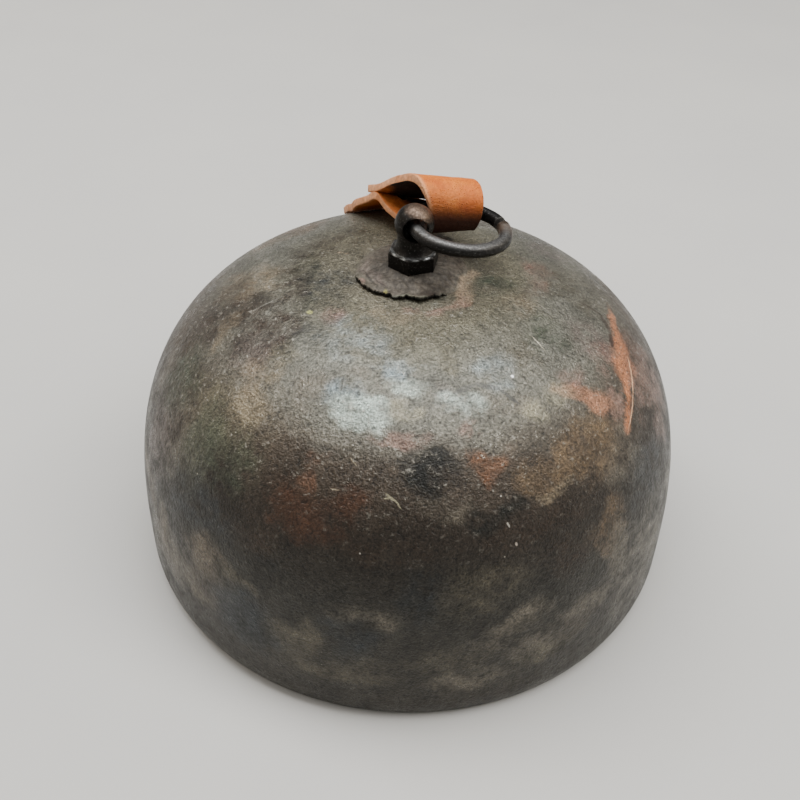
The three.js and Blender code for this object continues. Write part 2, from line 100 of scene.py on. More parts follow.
def add(tree, kind, inputs=(), **settings):
    """A shader node with its settings, and its inputs fed. A mix has its numbers at 2 and 3 and its
    colours at 6 and 7."""
    node = tree.nodes.new("ShaderNode" + kind)
    for name, value in settings.items():
        setattr(node, name, value)
    feed(node, inputs)
    return node


def material(name, *noises):
    """A new material with its node tree, its principled shader, the place on the piece, and a
    noise for each width in millimetres, detail and roughness."""
    made = bpy.data.materials.new(name)
    made.use_nodes = True
    tree = made.node_tree
    tree.nodes.clear()
    shader = add(tree, "BsdfPrincipled")
    add(tree, "OutputMaterial", {"Surface": shader})
    place = add(tree, "TexCoord").outputs["Object"]
    return (made, tree, shader, place, *(
        add(tree, "TexNoise", {"Vector": place, "Scale": 1 / (width * MM), "Detail": detail,
                               "Roughness": rough}) for width, detail, rough in noises))


def toned(tree, value, start, end, low, high):
    """A colour that goes from low to high as a value goes from start to end."""
    share = add(tree, "MapRange", (value, start, end))
    return add(tree, "Mix", {0: share, 6: linear(low), 7: linear(high)}, data_type="RGBA")


def pale_board():
    """Matt board: a faint, wide mottle and nothing else."""
    made, tree, shader, _, mottle = material("pale_board", (60, 3.0, 0.5))
    tint = toned(tree, mottle, 0.3, 0.7, "#bdbcb9", "#c1c0bc")
    feed(shader, {"Base Color": tint, "Roughness": 0.85})
    return made


def panel(name, size, place, radiance, tone="#ffffff"):
    """A soft light of that size, brightness and colour, turned to face the bell."""
    lamp = bpy.data.lights.new(name, "AREA")
    lamp.shape = "RECTANGLE"
    lamp.size, lamp.size_y = size[0] * MM, size[1] * MM
    lamp.energy = radiance * pi * lamp.size * lamp.size_y
    lamp.color = linear(tone)[:3]
    made = placed(name, lamp)
    made.location = Vector(place) * MM
    made.rotation_euler = (AIM - Vector(place)).to_track_quat("-Z", "Y").to_euler()


def mesh_of(name, bm):
    """The bmesh as a mesh, and the bmesh is freed."""
    mesh = bpy.data.meshes.new(name)
    bm.to_mesh(mesh)
    bm.free()
    return mesh


FLOOR_HALF = 3000.0
ROOM_TONE = "#d0cfcc"
ROOM_STRENGTH = 0.28

floor_bm = bmesh.new()
bmesh.ops.create_grid(floor_bm, x_segments=1, y_segments=1, size=FLOOR_HALF * MM)
floor = placed("floor", mesh_of("floor", floor_bm))
floor.data.materials.append(pale_board())

panel("window", (1900.0, 420.0), (20.0, 50.0, 900.0), 7.4)
panel("ceiling", (3000.0, 2200.0), (0.0, -100.0, 1050.0), 0.6)
panel("left_wall", (1400.0, 1250.0), (-1250.0, 100.0, 780.0), 1.1, "#fbe9cf")
panel("right_wall", (1400.0, 1150.0), (1250.0, 0.0, 730.0), 1.5, "#fcefdc")

world = bpy.data.worlds.new("room")
bpy.context.scene.world = world
world.use_nodes = True
world.node_tree.nodes["Background"].inputs["Color"].default_value = linear(ROOM_TONE)
world.node_tree.nodes["Background"].inputs["Strength"].default_value = ROOM_STRENGTH


# Bell shell
# One thin dome of copper-rich brass, raised over a form, with a slight belly over a mouth that
# is drawn in again. Years of handling and heat have left a dark tarnish in clouds, thin enough
# on the right to show the copper colour, and a fine sandy grain all over.
BELL_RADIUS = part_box("bell_shell")[1].x / MM
BELL_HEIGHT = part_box("bell_shell")[1].z / MM
BELLY_HEIGHT = 6.4
RIM_RADIUS = 63.2
RIM_ROUND = 0.5
WALL = 2.5
SIDE_POWER = 2.735
CROWN_POWER = 3.0
SHANK_HOLE = 3.3
SHELL_STEPS = 400
DENT_WIDTH, DENT_DEPTH = 17.0, 0.16
HAMMER_WIDTH, HAMMER_DEPTH = 4.2, 0.035
SMOOTH_CROWN, SMOOTH_MOUTH = 13, 2
FLUX_START, FLUX_END = -62, 6
FLUX_NEAR, FLUX_FAR = 11, 16.5
FLUX_WIDTH, FLUX_DEPTH = 1.5, 0.32


def dome_point(angle, radius=BELL_RADIUS, height=BELL_HEIGHT):
    """Radius and height on the dome, from the crown at 0 to its widest place at 90 degrees."""
    return (radius * sin(angle) ** (2 / SIDE_POWER),
            BELLY_HEIGHT + (height - BELLY_HEIGHT) * max(cos(angle), 0) ** (2 / CROWN_POWER))


def dome_height(radius):
    """Height of the dome's outside at a radius."""
    drop = min(radius / BELL_RADIUS, 1) ** SIDE_POWER
    return BELLY_HEIGHT + (BELL_HEIGHT - BELLY_HEIGHT) * (1 - drop) ** (1 / CROWN_POWER)


def skirt_point(height, radius=BELL_RADIUS, rim=RIM_RADIUS):
    """Radius and height on the wall between the widest place and the mouth."""
    return rim + (radius - rim) * (1 - ((BELLY_HEIGHT - height) / BELLY_HEIGHT) ** 2), height


def steps(start, end, count):
    """Values from start to end in so many equal steps, both ends included."""
    return [start + (end - start) * i / count for i in range(count + 1)]


def shell_outline():
    """The wall's section, from the crown's hole down the outside, round the rim and up inside."""
    inner = BELL_RADIUS - WALL
    inner_rim = RIM_RADIUS - WALL
    first = asin((SHANK_HOLE / BELL_RADIUS) ** (SIDE_POWER / 2))
    last = asin((SHANK_HOLE / inner) ** (SIDE_POWER / 2))
    outline = [dome_point(a) for a in steps(first, pi / 2, 112)]
    outline += [skirt_point(z) for z in steps(BELLY_HEIGHT, RIM_ROUND, 8)[1:-1]]
    outline += [(RIM_RADIUS - RIM_ROUND * (1 - cos(a)), RIM_ROUND * (1 - sin(a)))
                for a in steps(0, pi / 2, 4)]
    outline += [(inner_rim + RIM_ROUND * (1 - sin(a)), RIM_ROUND * (1 - cos(a)))
                for a in steps(0, pi / 2, 4)]
    outline += [skirt_point(z, inner, inner_rim) for z in steps(RIM_ROUND, BELLY_HEIGHT, 5)[1:-1]]
    outline += [dome_point(a, inner, BELL_HEIGHT - WALL) for a in steps(pi / 2, last, 44)]
    return outline


def spun(outline, count, closed=True):
    """A bmesh turned about Z from a section of radius and height, with its faces pointing out."""
    bm = bmesh.new()
    points = [bm.verts.new((radius, 0, height)) for radius, height in outline]
    edges = [bm.edges.new(pair) for pair in zip(points, points[1:])]
    if closed:
        edges.append(bm.edges.new((points[-1], points[0])))
    bmesh.ops.spin(bm, geom=points + edges, axis=(0, 0, 1), angle=2 * pi, steps=count,
                   use_merge=True)
    bmesh.ops.remove_doubles(bm, verts=bm.verts, dist=1e-4)
    bmesh.ops.recalc_face_normals(bm, faces=bm.faces)
    return bm


def roughen(bm, width, depth, seed, chosen=None):
    """Moves points along their normals by a noise of that width and depth."""
    bm.normal_update()
    shift = Vector((seed * 7.31, seed * 3.17, seed * 5.77))
    moves = [(v, v.normal * depth * noise.noise(v.co / width + shift))
             for v in bm.verts if chosen is None or chosen(v)]
    for vert, move in moves:
        vert.co += move


def piece(name, bm, finishes, body, slot, *nodes):
    """The finished bmesh as a piece in metres, on its body and in place of its CAD nodes."""
    bmesh.ops.scale(bm, vec=(MM, MM, MM), verts=bm.verts)
    mesh = mesh_of(name, bm)
    mesh.shade_smooth()
    mesh.set_sharp_from_angle(angle=radians(42))
    for finish in finishes:
        mesh.materials.append(finish)
    made = placed(name, mesh)
    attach(made, body)
    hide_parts(*nodes)


profile = [dome_point(a) for a in steps(0, pi / 2, 400)] + [
    skirt_point(z) for z in steps(BELLY_HEIGHT, 0, 12)[1:]]
profile_radius, profile_height = (np.array(side) for side in zip(*profile))
profile_steps = np.hypot(np.diff(profile_radius), np.diff(profile_height))
profile_run = np.concatenate(([0], np.cumsum(profile_steps)))


def on_dome(azimuth, down):
    """The place so many degrees round from the right side and millimetres down from the crown."""
    radius, height = (np.interp(down, profile_run, side)
                      for side in (profile_radius, profile_height))
    return Vector((radius * cos(radians(azimuth)), radius * sin(radians(azimuth)), height))


# The kinds of oxide, each with its colour and how much bare metal shows through it. White,
# silver, blue and cream are set where the window's highlight falls, partly as bare metal and
# partly as painted highlight.
TONES = {
    "sand": ("#7a6e5a", 0.25), "olive": ("#5c5747", 0.25), "umber": ("#30271f", 0.1),
    "soot": ("#1c1c19", 0.05), "moss": ("#3b4034", 0.1), "mauve": ("#5c514b", 0.2),
    "oxblood": ("#3f2c21", 0.2), "rust": ("#553f31", 0.25), "rose": ("#7a6156", 0.35),
    "ember": ("#60402a", 0.3), "copper": ("#b97b56", 0.7), "peach": ("#9c7056", 0.5),
    "bronze": ("#5f4f3b", 0.35), "ash": ("#5c564b", 0.15), "beige": ("#5c5346", 0.15),
    "slate": ("#25292b", 0.1), "blue": ("#6f7a7d", 0.5), "silver": ("#7a807d", 0.45),
    "cream": ("#85806c", 0.4), "khaki": ("#4b463a", 0.15), "crust": ("#8d7c67", 0.1),
    "white": ("#a3afa6", 0.65), "near_black": ("#16130f", 0.0), "lime": ("#8f8a4c", 0.1),
    "sage": ("#6d6f62", 0.2),
}
# The even tarnish under the patches, by the way down from the crown.
GROUND = ((5.0, "#595449", 0.25), (22.0, "#5f5b4c", 0.3), (34.0, "#66655c", 0.4),
          (45.0, "#5d5b52", 0.4), (54.0, "#40382f", 0.25), (66.0, "#2a241e", 0.12),
          (82.0, "#2c2a25", 0.08), (112.0, "#322f29", 0.08))
# Patches: degrees round, millimetres down, half width, half height, strength, the kind of oxide,
# and for those that aren't level the lean in degrees.
PATCHES = (
    (-187, 24, 5.3, 3.6, 0.5, "moss"), (-170, 17, 4, 4.7, 0.3, "slate"),
    (-180, 37, 9, 7.2, 0.6, "sand", -25), (-167, 34, 5, 2.6, 0.8, "soot", -15),
    (-167, 44, 4.7, 10.9, 0.7, "umber"), (-161, 43, 2.1, 4.9, 0.6, "sand", -35),
    (-150, 38, 9, 9, 0.75, "umber"), (-176, 44, 12, 9, 0.5, "umber"),
    (-144, 42, 6, 6, 0.5, "mauve"), (-141, 56, 12, 6, 0.6, "olive"), (-146, 67, 9, 8, 0.5, "ash"),
    (-47, 57, 9, 6, 0.6, "bronze"), (-38, 64, 8, 7, 0.5, "ash"), (-156, 25, 3.4, 2.8, 0.5, "moss"),
    (-134, 38, 3.6, 4.1, 0.5, "olive"), (-134, 30, 3.5, 6.4, 0.35, "slate"),
    # The white, silver, blue and cream patches in the highlight band are partly painted highlight.
    (-135, 24, 2.6, 2.8, 0.4, "rose"), (-117, 27, 7, 5.1, 0.4, "silver"),
    (-97, 32, 4, 3, 0.55, "blue"), (-110, 39, 2.8, 2.3, 0.6, "blue"),
    (-103, 42, 5.2, 2.4, 0.6, "white"), (-91, 41, 3.2, 2, 0.5, "cream"),
    (-76, 30, 2.6, 4.1, 0.6, "olive"), (-92, 24, 1.8, 1.7, 0.5, "olive"),
    (-56, 46, 3.1, 3.4, 0.5, "cream"), (-75, 45, 2.8, 2, 0.5, "rose"),
    (-73, 52, 4.2, 2.8, 0.7, "ember", 25), (-71, 55, 1.6, 1.5, 0.6, "rust"),
    (-93, 47, 6, 1.8, 0.8, "rose"), (-110, 53, 3, 2.7, 0.7, "rust"),
    (-110, 58, 1.8, 2.1, 0.75, "rust"), (-104, 51, 2, 2.3, 0.4, "khaki"),
    (-87, 54, 7.2, 4.2, 0.8, "soot"), (-111, 65, 7.7, 5.2, 0.8, "oxblood"),
    (-102, 61, 4.3, 2.7, 0.7, "oxblood"), (-72, 63, 6.6, 3.1, 0.6, "soot"),
    (-83, 60, 5, 2.3, 0.4, "ash"), (-60, 58, 6.3, 3.9, 0.65, "bronze"),
    (-58, 62, 4.8, 1.2, 0.5, "sand"), (-64, 67, 9.2, 3.7, 0.6, "umber"),
    (-47, 75, 6, 5.1, 0.55, "bronze"), (-31, 72, 9.9, 6.2, 0.5, "slate"),
    (-36, 94, 12, 13.3, 0.5, "ash"), (-52, 93, 6.8, 3.4, 0.6, "ash", -25),
    (-56, 98, 4.9, 2.9, 0.5, "umber", -25), (-63, 96, 8.5, 4.1, 0.5, "ash", -20),
    (-75, 79, 7.7, 6.2, 0.35, "khaki"), (-87, 79, 3.9, 7.2, 0.5, "slate"),
    (-83, 97, 8.8, 3.8, 0.4, "khaki"), (-72, 93, 6.1, 3.1, 0.4, "ash"),
    (-132, 87, 6.3, 6.9, 0.8, "beige", -35), (-130, 93, 8.7, 5.6, 0.7, "beige", -30),
    (-123, 86, 5, 1.9, 0.75, "khaki", 15), (-145, 96, 11.4, 7.1, 0.6, "ash"),
    (-123, 96, 10.4, 7.3, 0.85, "slate", 30), (-136, 75, 12, 5.4, 0.5, "slate"),
    (-110, 94, 5.6, 6.2, 0.6, "khaki", 30), (-99, 91, 5.3, 7.3, 0.4, "slate"),
    (-98, 100, 8.7, 3.6, 0.4, "khaki"), (-156, 70, 6.8, 11.6, 0.5, "mauve"),
    (-133, 61, 7.9, 6.1, 0.55, "moss"), (-139, 50, 7.8, 3.4, 0.4, "olive"),
    (-124, 44, 5.4, 4, 0.4, "ash"), (-120, 49, 6.4, 2.5, 0.4, "ash"),
    (-2, 13.2, 2.4, 1.5, 0.85, "crust"), (-14, 13.4, 2.8, 2.0, 0.95, "crust"),
    (-27, 13.8, 2.8, 2.0, 0.95, "crust"), (-39, 14.3, 2.6, 1.6, 0.95, "crust"),
    (-50, 14.9, 2.4, 1.2, 0.95, "crust"), (-58, 14.9, 1.8, 0.9, 0.9, "crust"),
    (-12, 18.5, 2.2, 1.6, 0.6, "umber"), (-207, 17, 1.0, 0.5, 0.9, "crust"),
    (-139, 16.6, 0.8, 0.5, 0.8, "cream"), (-80, 14.6, 4.5, 1.1, 0.6, "rose"),
    (-82, 14.3, 0.7, 0.45, 1, "near_black", 20), (-126, 9.6, 0.9, 0.4, 0.8, "lime"),
    (-155, 12.2, 1.0, 0.7, 0.7, "rose"), (-150, 8.6, 2.5, 1.2, 0.5, "mauve"),
    (-176, 10, 3, 1.4, 0.4, "mauve"), (-158, 10.4, 3.2, 0.3, 0.7, "near_black"),
    (-143, 8.8, 2.2, 0.3, 0.7, "near_black", -10), (-87, 11, 4, 1.0, 0.6, "sage"),
    (-64, 11, 3, 1.2, 0.5, "sage"), (-66, 9, 1.3, 0.7, 0.8, "umber"),
    (-108, 11, 2.2, 0.9, 0.5, "sage"), (-30, 9, 3, 1.4, 0.4, "umber"),
    (20, 9.5, 4, 1.6, 0.4, "umber"), (-200, 25, 14, 6, 0.4, "umber"),
    (-165, 22, 9, 5, 0.35, "slate"), (-52, 15, 3.4, 1.4, 0.6, "rose"),
    (-14, 19, 4.1, 5, 0.5, "moss"), (7, 29, 7.3, 3.7, 0.4, "rose"),
    (5, 40, 9.9, 11.4, 0.5, "khaki"), (-31, 34, 5.4, 5.4, 0.5, "moss"),
    (-21, 41, 5.1, 7.6, 0.45, "mauve"), (-12, 53, 7, 6, 0.6, "rust", -15),
    (-22, 47, 6, 3.5, 0.5, "rose", -15), (-34, 54, 4, 3, 0.7, "rose", -20),
    (-41, 46.5, 4.8, 2, 0.85, "peach", 25), (-37, 50, 3, 3, 0.85, "peach"),
    (-4, 46.5, 4.5, 1.8, 0.75, "copper", -8), (-13, 48, 5, 2.7, 0.9, "copper", -12),
    (-21, 51, 4.4, 2.8, 0.95, "copper", -22), (-26.5, 54.5, 4, 1.8, 0.95, "copper", -36),
    # The near black patch at 64 degrees round and 18 down lies on the dome under the strap.
    (-31, 58.5, 3.4, 1.4, 0.9, "copper", -42), (64, 18, 4.2, 2.2, 0.95, "near_black"),
    (-39, 44, 3.3, 2, 0.4, "rose"), (-15, 61, 9, 9.8, 0.5, "rose"),
    (-21, 25, 5.2, 4.3, 0.4, "sand"), (-63, 42, 5.4, 3.5, 0.4, "ash"),
    (-77, 39, 5.1, 3.1, 0.35, "mauve"), (-98, 18, 7.9, 3.2, 0.35, "sand"),
    (-158, 84, 9, 3, 0.7, "beige", 20), (-147, 90, 4, 6, 0.6, "beige", -20),
    (-118, 78, 6, 3, 0.5, "soot", 10), (-97, 84, 7, 2.5, 0.5, "ash"),
    (-68, 88, 8, 2.2, 0.6, "ash", -15), (-60, 100, 9, 3, 0.6, "khaki", -10),
    (-45, 82, 3.5, 7, 0.5, "ash", 15), (-30, 98, 6, 9, 0.5, "khaki"),
    (-105, 103, 9, 3, 0.6, "khaki", 5), (-78, 104, 8, 2.5, 0.5, "ash"),
    (-158, 58, 7, 8, 0.6, "moss"), (-168, 66, 4, 9, 0.5, "ash"), (-140, 62, 5, 9, 0.5, "moss"),
    (-95, 70, 9, 3, 0.5, "umber"), (-120, 72, 6, 4, 0.5, "umber"), (-58, 76, 6, 4, 0.5, "umber"),
    (-17, 84, 7, 6, 0.5, "ash"), (-10, 97, 7, 5, 0.5, "khaki"), (-47, 34, 6, 5, 0.4, "khaki"),
    # The white, silver, blue and cream patches in the highlight band are partly painted highlight.
    (-75, 40, 5, 2.4, 0.45, "white"), (-60, 35, 4, 3, 0.5, "silver"),
    (-90, 30, 4, 2, 0.5, "silver"), (-90, 36, 5, 1.8, 0.4, "white", 10),
    (-135, 44, 5, 4, 0.5, "sand"), (-134, 50, 6, 3, 0.5, "sand"), (-47, 45, 4, 2.5, 0.5, "cream"),
    (-105, 35, 4, 2, 0.5, "ash"), (-121, 38, 4, 3, 0.4, "ash"), (-166, 27, 7, 4, 0.5, "umber"),
)
# The back isn't in the photo: the same kinds, drawn between these ends of the degrees round,
# millimetres down, half width, half height, lean and strength.
BACK_PATCHES = 70
BACK_ENDS = ((20, 158), (30, 108), (3, 12), (2, 6), (-40, 40), (0.25, 0.5))
BACK_TONES = ("olive", "umber", "soot", "moss", "mauve", "oxblood", "rust", "bronze", "ash",
              "slate", "khaki")
BACK_SEED = 7
PATCH_REACH = 1.45
# How the patches' borders wander, across and along the dome: two noises' depths and widths.
WANDER = ((3.0, 8.0), (1.2, 2.5))
WANDER_SHIFTS = (Vector((11.3, 4.7, 2.9)), Vector((31.7, 12.9, 7.3)))


def tarnish(bm, levels):
    """Sets, for each point, the ground's colour and bare share, and the patches' over it."""
    places = np.array([v.co[:] for v in bm.verts])
    dice = random.Random(BACK_SEED)
    marks = list(PATCHES)
    for _ in range(BACK_PATCHES):
        *spot, lean, strength = (dice.uniform(*ends) for ends in BACK_ENDS)
        marks.append((*spot, strength, dice.choice(BACK_TONES), lean))
    warp = np.array([[sum(depth * noise.noise(v.co / width + shift) for depth, width in WANDER)
                      for shift in WANDER_SHIFTS] for v in bm.verts])
    radius = np.hypot(places[:, 0], places[:, 1])
    down = np.interp(radius - places[:, 2], profile_radius - profile_height, profile_run)
    down += warp[:, 1]
    turn = np.degrees(np.arctan2(places[:, 1], places[:, 0]))
    tones = np.array([linear(code)[:3] + [bare] for _, code, bare in levels])
    depths = [depth for depth, _, _ in levels]
    ground = np.stack([np.interp(down, depths, column) for column in tones.T], 1)
    cover = np.zeros((len(places), 5))
    for azimuth, depth, half_width, half_height, strength, tone, *lean in marks:
        aside = (turn - azimuth + 180) % 360 - 180
        across = np.radians(aside) * radius + warp[:, 0]
        along = down - depth
        slant = radians(lean[0] if lean else 0)
        x = (across * cos(slant) + along * sin(slant)) / half_width
        y = (along * cos(slant) - across * sin(slant)) / half_height
        reach = np.clip(PATCH_REACH - np.hypot(x, y), 0, 1)
        weight = (strength * reach * reach * (3 - 2 * reach))[:, None]
        tint = np.array(linear(TONES[tone][0])[:3] + [TONES[tone][1], 1])
        cover = cover * (1 - weight) + tint * weight
    weight = cover[:, 4:]
    cover[:, :4] /= np.maximum(weight, 1e-4)
    ground_layer = bm.verts.layers.float_color.new("ground")
    patch_layer = bm.verts.layers.float_color.new("patch")
    bare_layer = bm.verts.layers.float.new("patch_bare")
    for vert, base, over, share in zip(bm.verts, ground, cover, weight):
        vert[ground_layer] = base
        vert[patch_layer] = (*over[:3], share[0])
        vert[bare_layer] = over[3]


# Scratches, specks, dried drops and a painted dark arc in the highlight: two ends as degrees round
# and millimetres down, the half width, the colour and how strongly it covers.
STROKES = (
    (-14.7, 51.6, -25, 56.7, 0.22, "#e0b490", 0.9), (-24, 56.2, -33.8, 60.5, 0.18, "#e0b490", 0.8),
    (-37.2, 31.1, -39.2, 36.3, 0.13, "#c2bba6", 0.6),
    (-56.6, 37.1, -56.4, 37.3, 0.28, "#ffffff", 1.0),
    # The three dark grey strokes from 77 to 59 degrees round are painted shade: the dark arc where
    # a ridge breaks the highlight.
    (-76.9, 37.8, -69.2, 36.6, 0.3, "#4c4d4c", 0.5),
    (-69.2, 36.6, -63.0, 38.6, 0.35, "#4c4d4c", 0.6),
    (-63.0, 38.6, -58.8, 43.8, 0.3, "#3f4040", 0.6),
    (-94.6, 57.6, -92.6, 59.0, 0.22, "#8f8971", 0.9),
    (-92.8, 58.6, -91.4, 60.4, 0.18, "#8f8971", 0.8),
    (-95.0, 58.6, -93.6, 58.3, 0.16, "#8f8971", 0.8),
    (-106.3, 58.4, -104.2, 58.2, 0.14, "#9c917c", 0.8),
    (-103.4, 51.8, -101.5, 53.1, 0.12, "#a89c84", 0.6),
    (-70.4, 65.0, -70.1, 65.8, 0.24, "#a29d93", 1.0),
    (-69.1, 69.5, -69.0, 69.8, 0.3, "#a2988c", 1.0),
    (-98.7, 69.9, -98.7, 70.0, 0.2, "#a9a49a", 0.9),
    (-70.9, 59.4, -70.9, 59.5, 0.2, "#b9b4aa", 0.9),
    (-163.2, 36.1, -164.5, 29.0, 0.25, "#6c6a63", 0.6),
    (-146.3, 25.9, -145.9, 26.3, 0.4, "#a3a263", 0.8),
    (-4.2, 38.0, -5.3, 43.2, 0.5, "#2e2018", 0.6), (-5.3, 43.2, -11.2, 46.0, 0.4, "#2e1c14", 0.6),
    (-11.2, 46.0, -17.4, 47.3, 0.45, "#2e1c14", 0.7),
)


# The setting of a map range that eases in and out.
SOFT = {"interpolation_type": "SMOOTHSTEP"}


def stroke(tree, place, start, end, half_width):
    """How far a place is inside a thin mark on the dome, from 0 outside it to 1 in its middle."""
    first, last = on_dome(*start), on_dome(*end)
    along = last - first
    aside = Vector((first.x, first.y, 0)).normalized().cross(along)
    turn = Matrix((along.normalized(), aside.normalized(), along.cross(aside).normalized()))
    half_size = Vector((along.length / 2 + half_width, half_width, 3 * half_width + 1))
    spot = add(tree, "Mapping", {"Vector": place, "Location": (first + last) / 2 * MM,
                                 "Rotation": turn.transposed().to_euler(),
                                 "Scale": half_size * MM}, vector_type="TEXTURE")
    reach = add(tree, "VectorMath", (spot,), operation="LENGTH")
    return add(tree, "MapRange", (reach, 1.1, 0.6), **SOFT)


def tarnished_brass():
    """Old brass under a thin oxide: soft broad gloss over a sandy grain that glints, with pores,
    ragged patches of other oxides, some lighter as painted highlight, small pits, dust, a few
    scratches and a painted dark arc in the highlight."""
    made, tree, shader, place, grain, speck, ragged, cloud = material(
        "tarnished_brass", (0.5, 2.0, 0.6), (1.1, 4.0, 0.7), (4.5, 7.0, 0.68), (8.0, 5.0, 0.6))
    feed(cloud, {"Distortion": 0.6})
    dust = add(tree, "TexVoronoi", {"Vector": place, "Scale": 1 / (2.4 * MM)})
    ground, patch, patch_bare = (add(tree, "Attribute", attribute_name=layer)
                                 for layer in ("ground", "patch", "patch_bare"))
    over = patch.outputs["Alpha"]

    # Patch edges break up along the ragged noise, most where the patch is half strong.
    square = add(tree, "Math", (over, over), operation="MULTIPLY")
    middle = add(tree, "Math", (over, square), operation="SUBTRACT")
    shift = add(tree, "MapRange", (ragged, 0.35, 0.65, -2.1, 2.1), clamp=False)
    share = add(tree, "Math", (middle, shift, over), operation="MULTIPLY_ADD", use_clamp=True)
    tinted = add(tree, "Mix", {0: share, 6: ground, 7: patch}, data_type="RGBA")
    bare = add(tree, "Mix", {0: share, 2: ground.outputs["Alpha"], 3: patch_bare.outputs["Fac"]},
               data_type="FLOAT")

    # Light and dark: wide clouds, then the grain, then pores as fine as it.
    drift = add(tree, "MapRange", (cloud, 0.3, 0.7, 0.68, 1.38))
    sandy = add(tree, "MapRange", (grain, 0.32, 0.68, 0.55, 1.5))
    pore = add(tree, "MapRange", (speck, 0.36, 0.45, 0.45, 1.0), **SOFT)
    level = add(tree, "Math", (drift, sandy), operation="MULTIPLY")
    deep = add(tree, "Math", (level, pore), operation="MULTIPLY")
    shaded = add(tree, "VectorMath", {0: tinted, "Scale": deep}, operation="SCALE")
    glint = add(tree, "MapRange", (speck, 0.58, 0.68, 0.0, 0.6), **SOFT)
    open_ground = add(tree, "MapRange", (ground.outputs["Alpha"], 0.08, 0.3, 0.12, 1.0))
    glinting = add(tree, "Math", (glint, open_ground), operation="MULTIPLY")
    colour = add(tree, "Mix", {0: glinting, 6: shaded, 7: linear("#9a968b")}, data_type="RGBA")
    fleck = add(tree, "MapRange", (dust, 0.04, 0.09, 1.0, 0.0), **SOFT)
    chance = add(tree, "SeparateColor", {"Color": dust.outputs["Color"]})
    rare = add(tree, "Math", (chance.outputs["Red"], 0.93), operation="GREATER_THAN")
    dusty = add(tree, "Math", (fleck, rare), operation="MULTIPLY")
    colour = add(tree, "Mix", {0: dusty, 6: colour, 7: linear("#8a857a")}, data_type="RGBA")

    # The marks that can be told one by one.
    wander = add(tree, "VectorMath", (speck.outputs["Color"], (0.5 * MM,) * 3, place),
                 operation="MULTIPLY_ADD")
    settle = add(tree, "VectorMath", (wander, (0.25 * MM,) * 3), operation="SUBTRACT")
    for a0, d0, a1, d1, half_width, code, strength in STROKES:
        inside = stroke(tree, settle, (a0, d0), (a1, d1), half_width)
        amount = add(tree, "Math", (inside, strength), operation="MULTIPLY")
        colour = add(tree, "Mix", {0: amount, 6: colour, 7: linear(code)}, data_type="RGBA")

    open_metal = add(tree, "Math", (bare, pore), operation="MULTIPLY")
    metal = add(tree, "MapRange", (open_metal, 0.0, 1.0, 0.25, 1.0))
    sheen = add(tree, "MapRange", (bare, 0.05, 0.35, 0.3, 0.5))
    streaky = add(tree, "MapRange", (ragged, 0.35, 0.65, 0.12, -0.1))
    dull = add(tree, "MapRange", (speck, 0.3, 0.7, 0.43, 0.28))
    uneven = add(tree, "Math", (dull, streaky), operation="ADD")
    relief = add(tree, "Math", (speck, 1.6, grain), operation="MULTIPLY_ADD")
    bump = add(tree, "Bump", {"Height": relief, "Distance": 0.22 * MM})
    feed(shader, {"Base Color": colour, "Metallic": metal, "Roughness": uneven,
                  "Specular IOR Level": sheen, "Normal": bump})
    return made


def raw_brass():
    """The inside: never rubbed, so an even dull brown with a grey bloom and hammer marks."""
    made, tree, shader, place, bloom = material("raw_brass", (9, 6.0, 0.65))
    tint = toned(tree, bloom, 0.32, 0.7, "#3b2f25", "#6e5f4a")
    dull = add(tree, "MapRange", (bloom, 0.3, 0.7, 0.5, 0.68))
    marks = add(tree, "TexVoronoi", {"Vector": place, "Scale": 1 / (7 * MM)}, feature="SMOOTH_F1")
    bump = add(tree, "Bump", {"Height": marks, "Distance": 0.25 * MM, "Strength": 0.6})
    feed(shader, {"Base Color": tint, "Metallic": 0.7, "Roughness": dull, "Normal": bump})
    return made


def crusted(place):
    """Whether a place is in the arc of dried flux, to the right of the plate on the crown."""
    return (FLUX_START < degrees(atan2(place.y, place.x)) < FLUX_END
            and FLUX_NEAR < hypot(place.x, place.y) < FLUX_FAR)


def outer_wall(place):
    """Whether a point of the shell is on its outside, above the mouth."""
    radius = hypot(place.x, place.y)
    if place.z < BELLY_HEIGHT:
        return place.z > RIM_ROUND and radius > RIM_RADIUS - WALL / 2
    return place.z > dome_height(radius) - WALL / 2 or radius > BELL_RADIUS - WALL / 2


shell_bm = spun(shell_outline(), SHELL_STEPS)
for face in shell_bm.faces:
    face.material_index = 0 if outer_wall(face.calc_center_median()) else 1
outside = {v for v in shell_bm.verts
           if outer_wall(v.co) and v.co.z > SMOOTH_MOUTH and hypot(v.co.x, v.co.y) > SMOOTH_CROWN}
tarnish(shell_bm, GROUND)
roughen(shell_bm, DENT_WIDTH, DENT_DEPTH, 1, outside.__contains__)
roughen(shell_bm, HAMMER_WIDTH, HAMMER_DEPTH, 2, outside.__contains__)
roughen(shell_bm, FLUX_WIDTH, FLUX_DEPTH, 10, lambda v: v in outside and crusted(v.co))
piece("dome_shell", shell_bm, [tarnished_brass(), raw_brass()],
      "bell", "patina_metal", "bell_shell")


# Crown plate
# A thin disc brazed over the crown to stiffen it under the stud. Its rim was torn and hammered
# flat into the dome, except along the front, where it has cracked away and leaves a dark gap,
# its underside painted near black as the gap's shade.
PLATE_RADIUS = 12.3
PLATE_EDGE = 0.7
PLATE_SEAT_RADIUS = 6.6
PLATE_SEAT_HEIGHT = 2.0
PLATE_UNDER = 0.3
PLATE_STEPS = 360
CRACK_START, CRACK_END = -160, -58
NICK_DEPTH = 0.03
CURL_MIDDLE, CURL_SPREAD = -82, 30
CURL_LEAST, CURL_MORE = 0.1, 0.35
PLATE_DENTS, PLATE_GRIT = (2.6, 0.3), (1.0, 0.16)
PLATE_TONES = ((4.0, "#38332c", 0.2), (8.0, "#474139", 0.2), (10.5, "#534d44", 0.25),
               (13.0, "#5c584c", 0.25))
